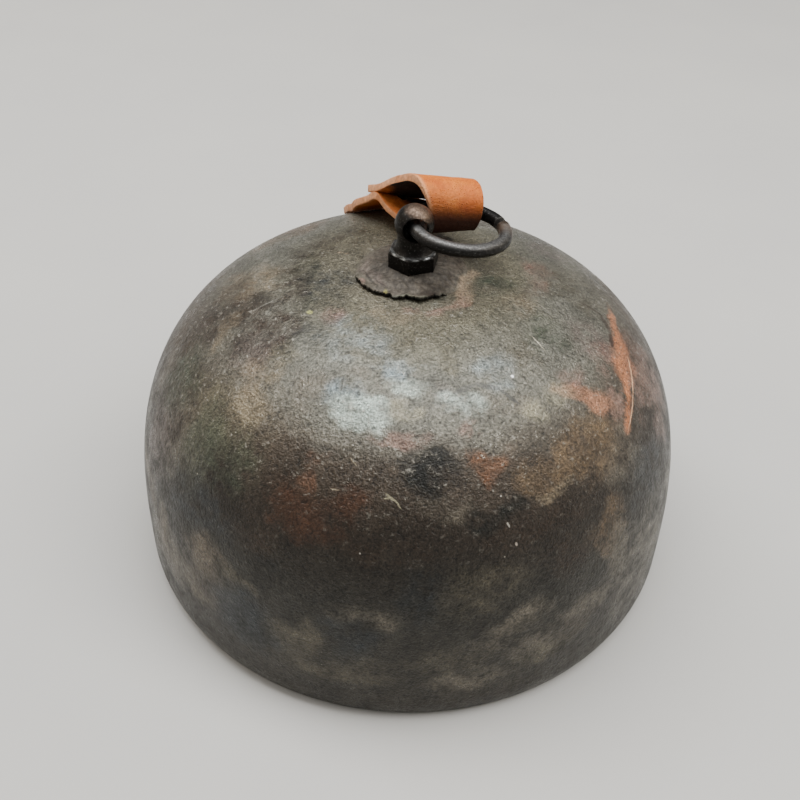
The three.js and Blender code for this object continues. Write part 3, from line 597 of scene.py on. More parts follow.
# The torn rim, as degrees round from the right side and its radius there.
TORN_RIM = (
    (-180, 12.55), (-157, 12.9), (-138, 12.7), (-131, 12.5), (-121, 12.0), (-114, 12.0),
    (-106, 12.25), (-101, 12.05), (-97, 11.2), (-91, 11.75), (-83, 12.5), (-78, 12.5), (-69, 11.7),
    (-61, 11.95), (-50, 11.6), (-40, 11.85), (-4, 12.0), (16, 12.2), (60, 12.5), (110, 12.3),
    (160, 12.7), (180, 12.55),
)
seat_z = BELL_HEIGHT + PLATE_SEAT_HEIGHT


def plate_outline():
    """The disc's section: flat under the stud, then sloping to its thin edge, and the underside."""
    edge_top = dome_height(PLATE_RADIUS) + PLATE_UNDER + PLATE_EDGE
    slope = [(PLATE_SEAT_RADIUS + (PLATE_RADIUS - PLATE_SEAT_RADIUS) * t,
              seat_z + (edge_top - seat_z) * t ** 0.75) for t in steps(0, 1, 44)]
    under = [(r, dome_height(r) + PLATE_UNDER) for r in steps(PLATE_RADIUS, SHANK_HOLE, 12)]
    edge = (PLATE_RADIUS + 0.15, edge_top - PLATE_EDGE / 2)
    return [(SHANK_HOLE, seat_z), *slope, edge, *under]


def torn(bm):
    """Draws the disc's edge out to the torn rim, beats it down on the dome and lifts its front."""
    for vert in bm.verts:
        radius = hypot(vert.co.x, vert.co.y)
        angle = atan2(vert.co.y, vert.co.x)
        outward = max(0, (radius - PLATE_SEAT_RADIUS) / (PLATE_RADIUS - PLATE_SEAT_RADIUS))
        rim = np.interp(degrees(angle), *zip(*TORN_RIM)) / PLATE_RADIUS
        round_place = Vector((cos(angle), sin(angle), 0))
        beside = max(CRACK_START - degrees(angle), degrees(angle) - CRACK_END, 0)
        nick = sum(NICK_DEPTH * noise.noise(round_place * scale) for scale in (16.0, 45.0))
        nick *= (1 - min(beside / 8, 1)) * outward ** 2
        grown = radius * (1 + (rim - 1) * outward + nick)
        lift = dome_height(grown) - dome_height(radius)
        beaten = min(beside / 9, 1) * outward ** 2 * (PLATE_UNDER + PLATE_EDGE + 0.02)
        widest = max(1 - abs(degrees(angle) - CURL_MIDDLE) / CURL_SPREAD, 0)
        curled = (CURL_LEAST + CURL_MORE * widest) * (1 - min(beside / 10, 1)) * outward ** 4
        vert.co = (grown * cos(angle), grown * sin(angle), vert.co.z + lift - beaten + curled)


def brazed_crust():
    """Spelter and scale: grey-pink and grey-green, gritty, dull, with dark pits; painted near
    black on the underside as the shade in the gap under the rim.
    """
    made, tree, shader, _, broad, fine = material("brazed_crust", (2.6, 5.0, 0.6), (0.7, 3.0, 0.7))
    ground, patch, under = (add(tree, "Attribute", attribute_name=layer)
                            for layer in ("ground", "patch", "gap"))
    mixed = add(tree, "Mix", {0: patch.outputs["Alpha"], 6: ground, 7: patch}, data_type="RGBA")
    cloud = add(tree, "MapRange", (broad, 0.3, 0.7, 0.6, 1.45))
    shade = add(tree, "MapRange", (fine, 0.3, 0.7, 0.5, 1.5))
    level = add(tree, "Math", (cloud, shade), operation="MULTIPLY")
    # The marked underside is painted near black: painted shade in the gap under the rim.
    painted_gap_shade = add(tree, "MapRange", (under.outputs["Fac"], 0.0, 1.0, 1.0, 0.06))
    dark = add(tree, "Math", (level, painted_gap_shade), operation="MULTIPLY")
    tinted = add(tree, "VectorMath", {0: mixed, "Scale": dark}, operation="SCALE")
    dull = add(tree, "MapRange", (fine, 0.3, 0.7, 0.72, 0.5))
    bump = add(tree, "Bump", {"Height": fine, "Distance": 0.14 * MM})
    feed(shader, {"Base Color": tinted, "Metallic": 0.35, "Roughness": dull, "Normal": bump})
    return made


plate_bm = spun(plate_outline(), PLATE_STEPS)
# The rim's underside is marked to be painted near black as the gap's shade, and is left out of the
# hammering.
underside_shade_layer = plate_bm.verts.layers.float.new("gap")
for vert in plate_bm.verts:
    radius = hypot(vert.co.x, vert.co.y)
    vert[underside_shade_layer] = float(radius > PLATE_SEAT_RADIUS
                            and vert.co.z < dome_height(radius) + PLATE_UNDER + 0.6 * PLATE_EDGE)
tarnish(plate_bm, PLATE_TONES)
torn(plate_bm)
hammered = {v for v in plate_bm.verts
            if hypot(v.co.x, v.co.y) > PLATE_SEAT_RADIUS and v[underside_shade_layer] < 0.5}
roughen(plate_bm, *PLATE_DENTS, 3, hammered.__contains__)
roughen(plate_bm, *PLATE_GRIT, 4, hammered.__contains__)
piece("brazed_plate", plate_bm, [brazed_crust()], "bell", "solder_bed", "crown_plate")


# Eye stud
# Forged and filed from one iron bar: a hexagon to hold it by, a neck flared onto it, a ball
# drilled through for the ring, and below the crown a shank drilled for the clapper's link.
HEX_FLATS = 10.0
HEX_HEIGHT = 3.7
HEX_TURN = radians(-10.7)
HEX_CHAMFER = 0.3
NECK_FLARE_RADIUS = 4.6
NECK_RADIUS = 3.6
NECK_HEIGHT = 2.1
BALL_RADIUS = 4.25
BALL_LIFT = 6.1
HOLE_RADIUS = 2.35
HOLE_FLARE = 0.45
HOLE_SHIFT = 0.3
SHANK_RADIUS = 3.0
SHANK_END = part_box("eye_stud")[0].z / MM
SHANK_HOLE_RADIUS = 1.4
LINK_LIFT = 2.3
FORGED_GRID = 0.12
FORGED_DENTS = (1.6, 0.05)
link_z = SHANK_END + LINK_LIFT
hex_top = seat_z + HEX_HEIGHT
ball_z = hex_top + BALL_LIFT


def loose_object(bm):
    """A bmesh as an object for the modifiers that join and cut, to be removed afterwards."""
    return placed("loose", mesh_of("loose", bm))


def cut(base, tool):
    """One bmesh less another."""
    body, cutter = loose_object(base), loose_object(tool)
    trim = body.modifiers.new("trim", "BOOLEAN")
    trim.operation = "DIFFERENCE"
    trim.object = cutter
    return taken(body, cutter)


def taken(made, *others):
    """The object's mesh with its modifiers applied, as a bmesh; the objects are removed."""
    bpy.context.view_layer.update()
    bm = bmesh.new()
    bm.from_object(made, bpy.context.evaluated_depsgraph_get())
    for leftover in (made, *others):
        bpy.data.objects.remove(leftover)
    return bm


def merged(bms):
    """Several bmeshes in one."""
    whole = bms[0]
    for other in bms[1:]:
        mesh = mesh_of("loose", other)
        whole.from_mesh(mesh)
        bpy.data.meshes.remove(mesh)
    return whole


def fused(bms, grid):
    """Overlapping closed bmeshes as one skin of even small faces, its edges a little softened."""
    body = loose_object(merged(bms))
    skin = body.modifiers.new("skin", "REMESH")
    skin.mode = "VOXEL"
    skin.voxel_size = grid
    bm = taken(body)
    bmesh.ops.smooth_vert(bm, verts=bm.verts, factor=0.5, use_axis_x=True, use_axis_y=True,
                          use_axis_z=True)
    return bm


def moved(bm, matrix):
    """Moves and turns a whole bmesh."""
    bmesh.ops.transform(bm, verts=bm.verts, matrix=matrix)


def bar(sides, radius, length):
    """A straight bar along Z, its middle at the origin."""
    bm = bmesh.new()
    bmesh.ops.create_cone(bm, cap_ends=True, segments=sides, radius1=radius, radius2=radius,
                          depth=length)
    return bm


def hexagon(flats, height, turn, chamfer):
    """A hexagon bar from z = 0 up, its top corners filed off."""
    bm = bar(6, flats / sqrt(3), height)
    moved(bm, Matrix.Rotation(turn, 4, "Z"))
    moved(bm, Matrix.Translation((0, 0, height / 2)))
    top = [e for e in bm.edges if all(v.co.z > height / 2 for v in e.verts)]
    bmesh.ops.bevel(bm, geom=top, offset=chamfer, segments=1, profile=0.5,
                    affect="EDGES", material=-1)
    bmesh.ops.poke(bm, faces=[f for f in bm.faces if len(f.verts) > 4])
    bmesh.ops.subdivide_edges(bm, edges=bm.edges, cuts=16, use_grid_fill=True)
    return bm


def neck_and_ball():
    """The turned part over the hexagon, before it is drilled."""
    start = asin(NECK_RADIUS / BALL_RADIUS)
    widening = NECK_FLARE_RADIUS - NECK_RADIUS
    flare = [(NECK_RADIUS + widening * (1 - t) ** 2, hex_top + NECK_HEIGHT * t)
             for t in steps(0, 1, 8)]
    ball = [(BALL_RADIUS * sin(a), ball_z - BALL_RADIUS * cos(a)) for a in steps(start, pi, 28)]
    return spun([(0, hex_top - 1), (NECK_FLARE_RADIUS, hex_top - 1)] + flare + ball[:-1]
                + [(0, ball_z + BALL_RADIUS)], 72, closed=False)


def eye_hole():
    """The drill's path through the ball, front to back, wider at its worn mouths."""
    mouth = sqrt(BALL_RADIUS ** 2 - HOLE_RADIUS ** 2)
    ends = 1.5 * mouth
    waist = [(HOLE_RADIUS + HOLE_FLARE * (y / mouth) ** 2, y) for y in steps(-ends, ends, 24)]
    bm = spun([(0, -ends)] + waist + [(0, ends)], 48, closed=False)
    moved(bm, Matrix.Rotation(pi / 2, 4, "X"))
    moved(bm, Matrix.Translation((HOLE_SHIFT, 0, ball_z)))
    return bm


def shank():
    """The round bar below the hexagon, drilled across near its end."""
    chamfer = 0.5
    shaft = spun([(0, SHANK_END), (SHANK_RADIUS - chamfer, SHANK_END),
                  (SHANK_RADIUS, SHANK_END + chamfer), (SHANK_RADIUS, seat_z + 1),
                  (0, seat_z + 1)], 48, closed=False)
    drill = bar(32, SHANK_HOLE_RADIUS, 4 * SHANK_RADIUS)
    moved(drill, Matrix.Translation((0, 0, link_z)) @ Matrix.Rotation(pi / 2, 4, "X"))
    return cut(shaft, drill)


def wear_and_highlight(bm, amount):
    """Sets how bright each point is from rubbing and painted highlight (red), how warm from dirt
    and painted highlight (green), and how rusty (blue).
    """
    layer = bm.verts.layers.float_color.new("wear_and_highlight")
    for vert in bm.verts:
        vert[layer] = (*amount(vert.co), 1.0)


def blackened_iron(name, ground, rubbed_and_highlight, rust_level):
    """Fire-blackened iron: near black, fairly dull, rubbed grey on its edges and painted lighter
    where its points carry painted highlight, rusty in places.
    """
    made, tree, shader, _, fine, broad = material(name, (0.45, 3.0, 0.65), (3.5, 5.0, 0.6))
    scale = add(tree, "MapRange", (fine, 0.3, 0.7, 0.6, 1.5))
    black = add(tree, "VectorMath", {0: linear(ground)[:3], "Scale": scale}, operation="SCALE")
    worn = add(tree, "SeparateColor", {"Color": add(tree, "Attribute", attribute_name="wear_and_highlight")})
    grit = add(tree, "MapRange", (fine, 0.4, 0.62, 0.45, 1.0))
    glint = add(tree, "MapRange", (fine, 0.58, 0.7, 0.0, 0.14), **SOFT)
    # Red and green carry rubbing and dirt, and also painted highlight.
    bright = add(tree, "Math", (worn.outputs["Red"], grit), operation="MULTIPLY")
    lit = add(tree, "Math", (bright, glint), operation="MAXIMUM")
    rubbed_and_highlight_mix = add(tree, "Mix", {0: lit, 6: black, 7: linear(rubbed_and_highlight)}, data_type="RGBA")
    warm = add(tree, "Math", (worn.outputs["Green"], grit), operation="MULTIPLY")
    warm_and_highlight_mix = add(tree, "Mix", {0: warm, 6: rubbed_and_highlight_mix, 7: linear("#a08672")}, data_type="RGBA")
    patchy = add(tree, "MapRange", (broad, rust_level, rust_level + 0.12, 0.0, 0.6), **SOFT)
    rusty = add(tree, "Math", (patchy, worn.outputs["Blue"]), operation="MAXIMUM")
    rust_mix = add(tree, "Mix", {0: rusty, 6: warm_and_highlight_mix, 7: linear("#65503c")}, data_type="RGBA")
    metal = add(tree, "MapRange", (rusty, 0.0, 0.6, 0.85, 0.35))
    dull = add(tree, "MapRange", (fine, 0.3, 0.7, 0.52, 0.36))
    bump = add(tree, "Bump", {"Height": fine, "Distance": 0.06 * MM})
    feed(shader, {"Base Color": rust_mix, "Metallic": metal, "Roughness": dull, "Normal": bump})
    return made


collar_bm = hexagon(HEX_FLATS, HEX_HEIGHT, HEX_TURN, HEX_CHAMFER)
moved(collar_bm, Matrix.Translation((0, 0, seat_z)))
eye_bm = cut(neck_and_ball(), eye_hole())
stud_bm = merged([fused([eye_bm, shank()], FORGED_GRID), collar_bm])
roughen(stud_bm, *FORGED_DENTS, 5)


def stud_wear_and_highlight(place):
    """Bright along the hexagon's filed top edge, and painted highlight round the neck's foot; warm
    on top of the ball, partly worn rust and partly painted highlight.
    """
    flat = max(abs(place.x * cos(a) + place.y * sin(a))
               for a in (HEX_TURN + pi / 6, HEX_TURN + pi / 2, HEX_TURN + 5 * pi / 6))
    radius = hypot(place.x, place.y)
    half = HEX_CHAMFER / 2
    lip = 1 - hypot(flat - HEX_FLATS / 2 + half, place.z - hex_top + half) / 0.4
    # The bright ring round the neck's foot is painted highlight.
    foot = 0.4 - hypot(radius - NECK_FLARE_RADIUS, place.z - hex_top) / 0.6
    # The warm top of the ball, towards the light, is partly worn rust and partly painted highlight.
    top = ((place.z - ball_z) * 0.93 + place.x * 0.35) / BALL_RADIUS
    return min(max(lip, foot, 0), 0.8), min(max((top - 0.5) / 0.8, 0), 0.5), 0.0


wear_and_highlight(stud_bm, stud_wear_and_highlight)
piece("forged_stud", stud_bm, [blackened_iron("forged_iron", "#1d1b19", "#a3a5a4", 0.66)],
      "bell", "black_iron", "eye_stud")


# Hanging ring
# A length of iron wire bent round and its ends butted, not welded, so a notch shows. It hangs in
# the ball's hole and lies over to the right, bright where the strap and fingers rub it, and
# painted lighter along the top of its front half as highlight.
RING_WIRE = 1.5
RING_RADIUS = 10.05
RING_TILT = radians(6)
RING_LEAN = radians(2.5)
RING_SHIFT = Vector((-0.3, 0.9, -0.35))
RING_JOINT = radians(22)
RING_JOINT_GAP = 1.3
RING_END_EASE = 0.25
RING_DENTS, RING_GRIT = (2.4, 0.07), (0.8, 0.03)
ring_turn = Matrix.Rotation(RING_TILT, 4, "Y") @ Matrix.Rotation(-RING_LEAN, 4, "X")
ring_centre = RING_SHIFT + Vector((RING_RADIUS * cos(RING_TILT), 0,
                                   ball_z - RING_RADIUS * sin(RING_TILT)))


def ring_point(angle):
    """A place on the wire's centre line."""
    return ring_turn @ Vector((RING_RADIUS * cos(angle), RING_RADIUS * sin(angle), 0)) + ring_centre


def ring_wear_and_highlight(place):
    """Bright along the top of the front half, partly rubbed and partly painted highlight, and at
    the butted ends; rusty from the butted ends round to the right.
    """
    angle = degrees(atan2(place.y, place.x))
    # The lighter top of the wire's front half is partly rubbed metal, partly painted highlight.
    topmost = max(place.z / RING_WIRE, 0) ** 3
    at_joint = max(1 - abs(angle - degrees(RING_JOINT)) / 4.6, 0)
    rusty = max(1 - abs(angle - 4) / 24, 0)
    return max(0.5 * topmost * (angle < 10), at_joint), 0.0, 0.5 * rusty * (1 - at_joint)


def bent_wire():
    """A round section swept round from one butted end to the other, both ends a little dressed."""
    gap = RING_JOINT_GAP / RING_RADIUS
    bm = bmesh.new()
    bmesh.ops.create_circle(bm, cap_ends=False, segments=28, radius=RING_WIRE)
    moved(bm, Matrix.Rotation(pi / 2, 4, "X"))
    moved(bm, Matrix.Translation((RING_RADIUS, 0, 0)))
    moved(bm, Matrix.Rotation(RING_JOINT + gap / 2, 4, "Z"))
    bmesh.ops.spin(bm, geom=bm.verts[:] + bm.edges[:], axis=(0, 0, 1), angle=2 * pi - gap,
                   steps=200)
    rims = [e for e in bm.edges if e.is_boundary]
    caps = bmesh.ops.holes_fill(bm, edges=rims, sides=0)["faces"]
    bmesh.ops.recalc_face_normals(bm, faces=bm.faces)
    edges = list({e for cap in caps for e in cap.edges})
    bmesh.ops.bevel(bm, geom=edges, offset=RING_END_EASE, segments=3, profile=0.5,
                    affect="EDGES", material=-1)
    roughen(bm, *RING_DENTS, 6)
    roughen(bm, *RING_GRIT, 7)
    wear_and_highlight(bm, ring_wear_and_highlight)
    moved(bm, Matrix.Translation(ring_centre) @ ring_turn)
    return bm


piece("wire_ring", bent_wire(), [blackened_iron("rubbed_iron_with_highlight", "#242322", "#a5a4a2", 0.64)],
      "ring", "black_iron", "hanging_ring")


# Leather strap
# One strip of vegetable-tanned leather, as thick as a belt, folded once round the ring, its two
# layers riveted behind it, and its tail lying down the back of the dome. The grain side is
# orange-tan and pebbled, the flesh side darker and furry, the cut edges pale.
STRAP_THICKNESS = 1.8
STRAP_WIDTH = 12.1
STRAP_SIDE_GAP = 3.05
STRAP_LIE = 0.35
LAYER_GAP = 0.2
PINCH_STATION, PINCH_RETURN = 1, 13
RIVET_HEAD_RADIUS = 2.8
RIVET_SINK = 0.4
TAIL_HEADING = radians(15)
TAIL_STEP, TAIL_STEPS = 4.8, 3
STRAP_ROWS, STRAP_COLUMNS = 300, 28
STRAP_EDGE_EASE = 0.32
LEATHER_WAVES, LEATHER_GRAIN = (5.0, 0.12), (1.2, 0.05)
# The flesh side's two edges, from the cut end to where the tail lies on the dome, as offsets from
# where the ring's wire goes into the loop and where it comes out.
LEFT_EDGE = [
    (-13.4, 19.7, -6.4), (-11.1, 16.1, -4.2), (-7.8, 11.1, 0.1), (-5.8, 8.0, 2.3),
    (-3.5, 4.6, 4.4), (-1.7, 1.8, 4.8), (-0.1, -0.8, 3.3), (1.0, -2.4, 0.6),
    (0.9, -2.2, -2.0), (-0.4, -0.2, -4.0), (-2.8, 3.4, -5.4), (-6.0, 8.4, -5.9),
    (-8.7, 12.5, -5.6), (-14.0, 20.7, -7.8), (-16.8, 25.0, -11.2),
]
RIGHT_EDGE = [
    (-13.2, 20.5, -7.4), (-10.7, 16.1, -6.0), (-6.5, 10.0, -2.6), (-3.3, 5.6, 2.4),
    (-1.1, 2.6, 4.6), (0.3, -0.4, 4.7), (0.8, -2.7, 3.2), (0.4, -3.5, 1.2),
    (-0.6, -2.8, -1.1), (-1.4, -0.3, -1.8), (-3.1, 4.0, -3.3), (-6.2, 9.4, -4.7),
    (-9.0, 13.8, -6.0), (-14.2, 21.6, -8.4), (-17.2, 26.3, -11.0),
]
enter_angle = pi - (BALL_RADIUS + STRAP_SIDE_GAP) / RING_RADIUS
leave_angle = enter_angle - 2 * asin(STRAP_WIDTH / 2 / RING_RADIUS)


def settled(left, right):
    """The tail's flesh side, one leather and a gap over the dome's highest place between edges."""
    level = lambda p: dome_height(hypot(p.x, p.y))
    rise = max(0, max(level(left.lerp(right, t)) - (level(left) * (1 - t) + level(right) * t)
                      for t in steps(0, 1, 8)))
    pair = []
    for point in (left, right):
        radius = hypot(point.x, point.y)
        slope = dome_height(radius - 0.5) - dome_height(radius + 0.5)
        lift = (STRAP_THICKNESS + STRAP_LIE) * hypot(1, slope)
        pair.append(Vector((point.x, point.y, dome_height(radius) + rise + lift)))
    return pair


def strap_edges():
    """Places along the flesh side's left and right edge, from the cut end round to the tail."""
    left = [Vector(offset) + ring_point(enter_angle) for offset in LEFT_EDGE]
    right = [Vector(offset) + ring_point(leave_angle) for offset in RIGHT_EDGE]
    for points in (left, right):
        points.insert(PINCH_RETURN, points[PINCH_STATION] - Vector((0, 0, LAYER_GAP)))
    step = Vector((-sin(TAIL_HEADING), cos(TAIL_HEADING), 0)) * TAIL_STEP
    tail = [settled(left[-1] + step * i, right[-1] + step * i) for i in range(1, TAIL_STEPS + 1)]
    return left + [pair[0] for pair in tail], right + [pair[1] for pair in tail]


def through(points, share):
    """A place on the smooth curve through the points, timed by the root of each step's length."""
    spot = share * (len(points) - 1)
    i = min(int(spot), len(points) - 2)
    t = spot - i
    p1, p2 = points[i], points[i + 1]
    p0 = points[i - 1] if i > 0 else 2 * p1 - p2
    p3 = points[i + 2] if i + 2 < len(points) else 2 * p2 - p1
    d0, d1, d2 = (sqrt((b - a).length) for a, b in ((p0, p1), (p1, p2), (p2, p3)))
    m1 = ((p1 - p0) / d0 - (p2 - p0) / (d0 + d1) + (p2 - p1) / d1) * d1
    m2 = ((p2 - p1) / d1 - (p3 - p1) / (d1 + d2) + (p3 - p2) / d2) * d1
    return (p1 + m1 * t + (3 * (p2 - p1) - 2 * m1 - m2) * t * t
            + (2 * (p1 - p2) + m1 + m2) * t ** 3)


left_edge, right_edge = strap_edges()


def strap_middle(share):
    """The middle of the flesh side at a share of the strap's length."""
    return through(left_edge, share).lerp(through(right_edge, share), 0.5)


half_step = 0.5 / (len(left_edge) - 1)


def leather_normal(share):
    """The way out through the leather's thickness at a share of its length."""
    along = strap_middle(share + half_step) - strap_middle(share - half_step)
    return along.cross(through(right_edge, share) - through(left_edge, share)).normalized()


def leather_frame(share):
    """A frame on the middle of the flesh side, its Z out through the leather."""
    turn = leather_normal(share).to_track_quat("Z", "Y").to_matrix().to_4x4()
    return Matrix.Translation(strap_middle(share)) @ turn


rivet_turn = leather_frame(PINCH_STATION / (len(left_edge) - 1))
burr_turn = leather_frame(PINCH_RETURN / (len(left_edge) - 1))
head_seat = STRAP_THICKNESS - RIVET_SINK


def cut_strip():
    """The strip's flesh side as a fine grid laid between the two edge curves."""
    bm = bmesh.new()
    bmesh.ops.create_grid(bm, x_segments=STRAP_ROWS, y_segments=STRAP_COLUMNS, size=0.5)
    layer = bm.verts.layers.float_color.new("stain_and_shade")
    for vert in bm.verts:
        share, aside = vert.co.x + 0.5, vert.co.y + 0.5
        station = share * (len(left_edge) - 1)
        vert[layer] = (*stain_and_shade_at(station, aside), 1.0)
        vert.co = through(left_edge, share).lerp(through(right_edge, share), aside)
    return bm


def eased(value, start, end):
    """From 0 before the start to 1 past the end, smoothly."""
    t = min(max((value - start) / (end - start), 0), 1)
    return t * t * (3 - 2 * t)


def stain_and_shade_at(station, aside):
    """How black the loop's flesh side is inside, from iron stain and painted shade, how dark the
    fold's underside is painted as shade, and how burnished the left edge is."""
    inward = 0.9 * eased(aside, 0.05, 0.3)
    # Black inside the loop: partly iron stain, partly painted shade.
    flesh = eased(station, 1.4 - inward, 2.2 - inward) * (1 - eased(station, 10.0, 10.8))
    back = eased(station, 9.0, 10.0) * (1 - eased(station, 12.6, 13.2)) * eased(aside, 0.3, 0.6)
    # Darker under the fold: painted shade.
    fold_underside_shade = eased(station, 5.2, 7.4) * (1 - eased(station, 9.0, 10.0))
    return max(flesh, back), fold_underside_shade, 1 - eased(aside, 0.02, 0.09)


def thick_leather(bm):
    """The strip with its thickness, and its cut edges eased."""
    body = loose_object(bm)
    wall = body.modifiers.new("wall", "SOLIDIFY")
    wall.thickness = STRAP_THICKNESS
    wall.offset = 1.0
    wall.material_offset = 1
    wall.material_offset_rim = 2
    for _ in range(3):
        body.data.materials.append(bpy.data.materials.new("loose"))
    ease = body.modifiers.new("ease", "BEVEL")
    ease.width = STRAP_EDGE_EASE
    ease.segments = 3
    ease.limit_method = "ANGLE"
    ease.angle_limit = radians(50)
    ease.material = -1
    return taken(body)


def dimpled(bm):
    """Presses the leather in under the rivet's head and, on the other layer, under its burr."""
    for turn in (rivet_turn, burr_turn):
        back = turn.inverted()
        for vert in bm.verts:
            spot = back @ vert.co
            beyond = hypot(spot.x, spot.y) - RIVET_HEAD_RADIUS
            press = 1 - eased(beyond, 0.1, 1.1)
            if press > 0 and STRAP_THICKNESS / 2 < spot.z < 2 * STRAP_THICKNESS:
                spot.z += (min(spot.z, head_seat) - spot.z) * press
                vert.co = turn @ spot


def tanned_leather(name, low, high, pebble, furry, pores, channel="Green", stain_and_shade_tone="#32160a",
                   burnish=0.0):
    """Oiled tan leather: warm colour in soft clouds, a pebbled grain with dark pores or a fur, the
    left edge burnished pale; darker brown under the fold as painted shade, and black inside the
    loop, partly iron stain and partly painted shade."""
    made, tree, shader, place, cloud, hair = material(name, (4, 5.0, 0.6), (0.35, 4.0, 0.7))
    grain = add(tree, "TexVoronoi", {"Vector": place, "Scale": 1 / (pebble * MM)})
    tint = toned(tree, cloud, 0.3, 0.7, low, high)
    stain_and_shade = add(tree, "SeparateColor", {"Color": add(tree, "Attribute", attribute_name="stain_and_shade")})
    crease = add(tree, "MapRange", (grain, 0.25, 0.75, 1.06, 0.8))
    pit = add(tree, "MapRange", (grain, 0.16, 0.3, 1 - pores, 1.0), **SOFT)
    nap = add(tree, "MapRange", (hair, 0.3, 0.7, 1 - furry, 1 + furry))
    level = add(tree, "Math", (crease, nap), operation="MULTIPLY")
    pitted = add(tree, "Math", (level, pit), operation="MULTIPLY")
    tinted = add(tree, "VectorMath", {0: tint, "Scale": pitted}, operation="SCALE")
    rim = add(tree, "Math", (stain_and_shade.outputs["Blue"], burnish), operation="MULTIPLY")
    burnished = add(tree, "Mix", {0: rim, 6: tinted, 7: linear("#dba070")}, data_type="RGBA")
    stain_and_shade_mix = add(tree, "Mix", {0: stain_and_shade.outputs[channel], 6: burnished, 7: linear(stain_and_shade_tone)},
                data_type="RGBA")
    dull = add(tree, "MapRange", (cloud, 0.3, 0.7, 0.66, 0.52))
    relief = add(tree, "Math", (hair, furry * 2, pitted), operation="MULTIPLY_ADD")
    bump = add(tree, "Bump", {"Height": relief, "Distance": 0.2 * MM})
    feed(shader, {"Base Color": stain_and_shade_mix, "Roughness": dull, "Specular IOR Level": 0.25,
                  "Normal": bump})
    return made


leather_bm = thick_leather(cut_strip())
roughen(leather_bm, *LEATHER_WAVES, 8)
roughen(leather_bm, *LEATHER_GRAIN, 9)
dimpled(leather_bm)
leather_finishes = [
    tanned_leather("leather_grain_side", "#bc5a1d", "#d87a28", 0.62, 0.06, 0.5, burnish=0.7),
    tanned_leather("leather_flesh_side", "#b05c26", "#cf7a38", 1.4, 0.25, 0.0, "Red", "#120a06"),
    tanned_leather("leather_cut_edge", "#c98458", "#e0a478", 1.0, 0.2, 0.0),
]
piece("tan_strap", leather_bm, leather_finishes, "strap", "strap_leather", "leather_strap")


# Strap rivet and burr
# A small domed brass rivet through both layers, hammered over a loose washer underneath.
RIVET_RADIUS = 1.3
RIVET_HEAD_HEIGHT = 0.7
BURR_RADIUS = 2.6
BURR_HEIGHT = 0.6
BURR_EASE = 0.12
RIVET_SET = 0.4
rivet_bottom = -(LAYER_GAP + STRAP_THICKNESS - RIVET_SINK + BURR_HEIGHT + RIVET_SET)


def old_brass(name, low, high):
    """Turned brass gone dull: even brown-gold with darker spots, black where nothing rubs it."""
    made, tree, shader, _, spots = material(name, (0.9, 4.0, 0.5))
    tint = toned(tree, spots, 0.35, 0.65, low, high)
    dull = add(tree, "MapRange", (spots, 0.3, 0.7, 0.5, 0.32))
    bump = add(tree, "Bump", {"Height": spots, "Distance": 0.04 * MM})
    feed(shader, {"Base Color": tint, "Metallic": 1.0, "Roughness": dull, "Normal": bump})
    return made


def flat_ring(inner, outer, low, high, ease, count):
    """A washer between two heights, its outer corners eased."""
    return spun([(inner, low), (outer - ease, low), (outer, low + ease), (outer, high - ease),
                 (outer - ease, high), (inner, high)], count)


brass = old_brass("dull_brass", "#5d4824", "#a8874a")
head = [(RIVET_HEAD_RADIUS * cos(a), head_seat + RIVET_HEAD_HEIGHT * sin(a))
        for a in steps(0, pi / 2, 8)]
rivet_bm = spun([(0, rivet_bottom - 0.1), (RIVET_RADIUS * 0.8, rivet_bottom),
                 (RIVET_RADIUS, rivet_bottom + 0.25), (RIVET_RADIUS, head_seat), *head[:-1],
                 (0, head_seat + RIVET_HEAD_HEIGHT)], 48, closed=False)
for face in rivet_bm.faces:
    face.material_index = int(-STRAP_THICKNESS < face.calc_center_median().z < head_seat)
moved(rivet_bm, rivet_turn)
piece("domed_rivet", rivet_bm, [brass, old_brass("black_brass", "#0f0c08", "#1c160d")],
      "strap", "rivet_brass", "strap_rivet")

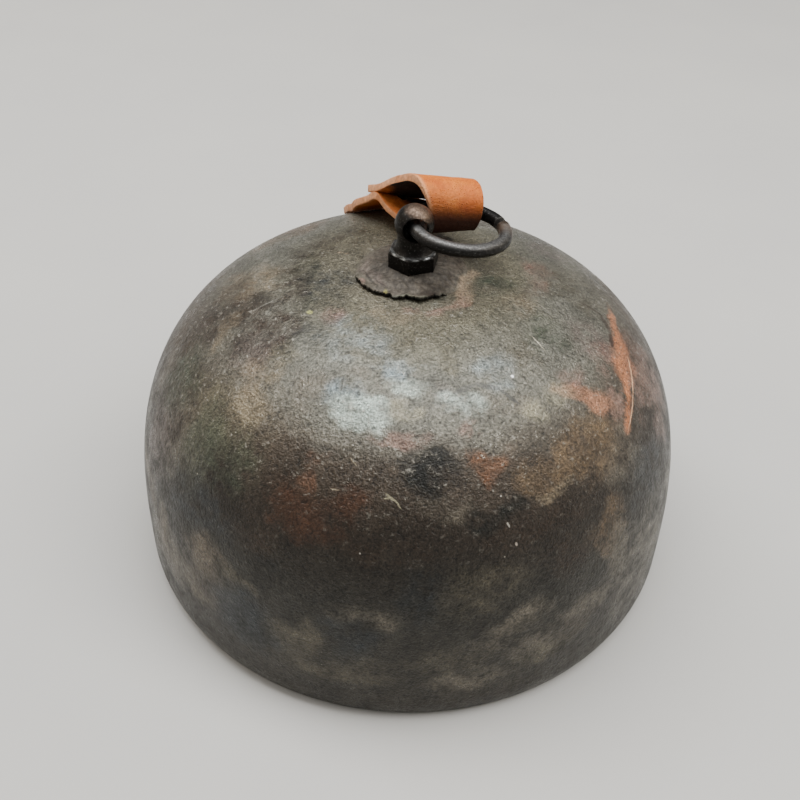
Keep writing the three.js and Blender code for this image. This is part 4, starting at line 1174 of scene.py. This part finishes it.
burr_bm = flat_ring(RIVET_RADIUS + 0.1, BURR_RADIUS, head_seat, head_seat + BURR_HEIGHT,
                    BURR_EASE, 48)
moved(burr_bm, burr_turn)
piece("rivet_burr", burr_bm, [brass], "strap", "rivet_brass", "strap_rivet_burr")


# Washer and nut inside the crown
# A plain steel washer and a thin nut on the stud's shank hold plate, shell and stud together.
WASHER_RADIUS = 7.5
WASHER_EASE = 0.2
NUT_FLATS = 10.0
NUT_TURN = radians(-12)
NUT_CHAMFER = 0.45
washer_low, washer_high = (corner.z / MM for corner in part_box("inner_washer"))
nut_low, nut_high = (corner.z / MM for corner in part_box("inner_nut"))


def dull_steel():
    """Plain uncoated steel, grey and a little rusty from damp air."""
    made, tree, shader, _, bloom = material("dull_steel", (2.2, 6.0, 0.65))
    tint = toned(tree, bloom, 0.42, 0.66, "#6b6966", "#5b3c27")
    metal = add(tree, "MapRange", (bloom, 0.45, 0.66, 1.0, 0.3))
    dull = add(tree, "MapRange", (bloom, 0.4, 0.66, 0.34, 0.75))
    bump = add(tree, "Bump", {"Height": bloom, "Distance": 0.05 * MM})
    feed(shader, {"Base Color": tint, "Metallic": metal, "Roughness": dull, "Normal": bump})
    return made


steel = dull_steel()
washer_bm = flat_ring(SHANK_HOLE, WASHER_RADIUS, washer_low, washer_high, WASHER_EASE,
                      96)
piece("crown_washer", washer_bm, [steel], "bell", "dull_steel", "inner_washer")

nut_bm = cut(hexagon(NUT_FLATS, nut_high - nut_low, NUT_TURN, NUT_CHAMFER),
             bar(48, SHANK_HOLE, 30))
moved(nut_bm, Matrix.Translation((0, 0, nut_high)) @ Matrix.Rotation(pi, 4, "X"))
piece("crown_nut", nut_bm, [steel], "bell", "dull_steel", "inner_nut")


# Clapper link, rod and bob
# A stirrup of steel wire in the shank's cross hole carries an iron rod with an eye bent on its
# top, and a cast ball threaded on the rod rests on its spread foot.
for node, finish in (("clapper_link", steel),
                     ("clapper_rod", blackened_iron("clapper_rod_iron", "#302c29", "#8a8580", 0.5)),
                     ("clapper_bob", blackened_iron("cast_bob_iron", "#352f2b", "#7d7772", 0.55))):
    node_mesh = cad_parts[node].data
    node_mesh.materials.clear()
    node_mesh.materials.append(finish)
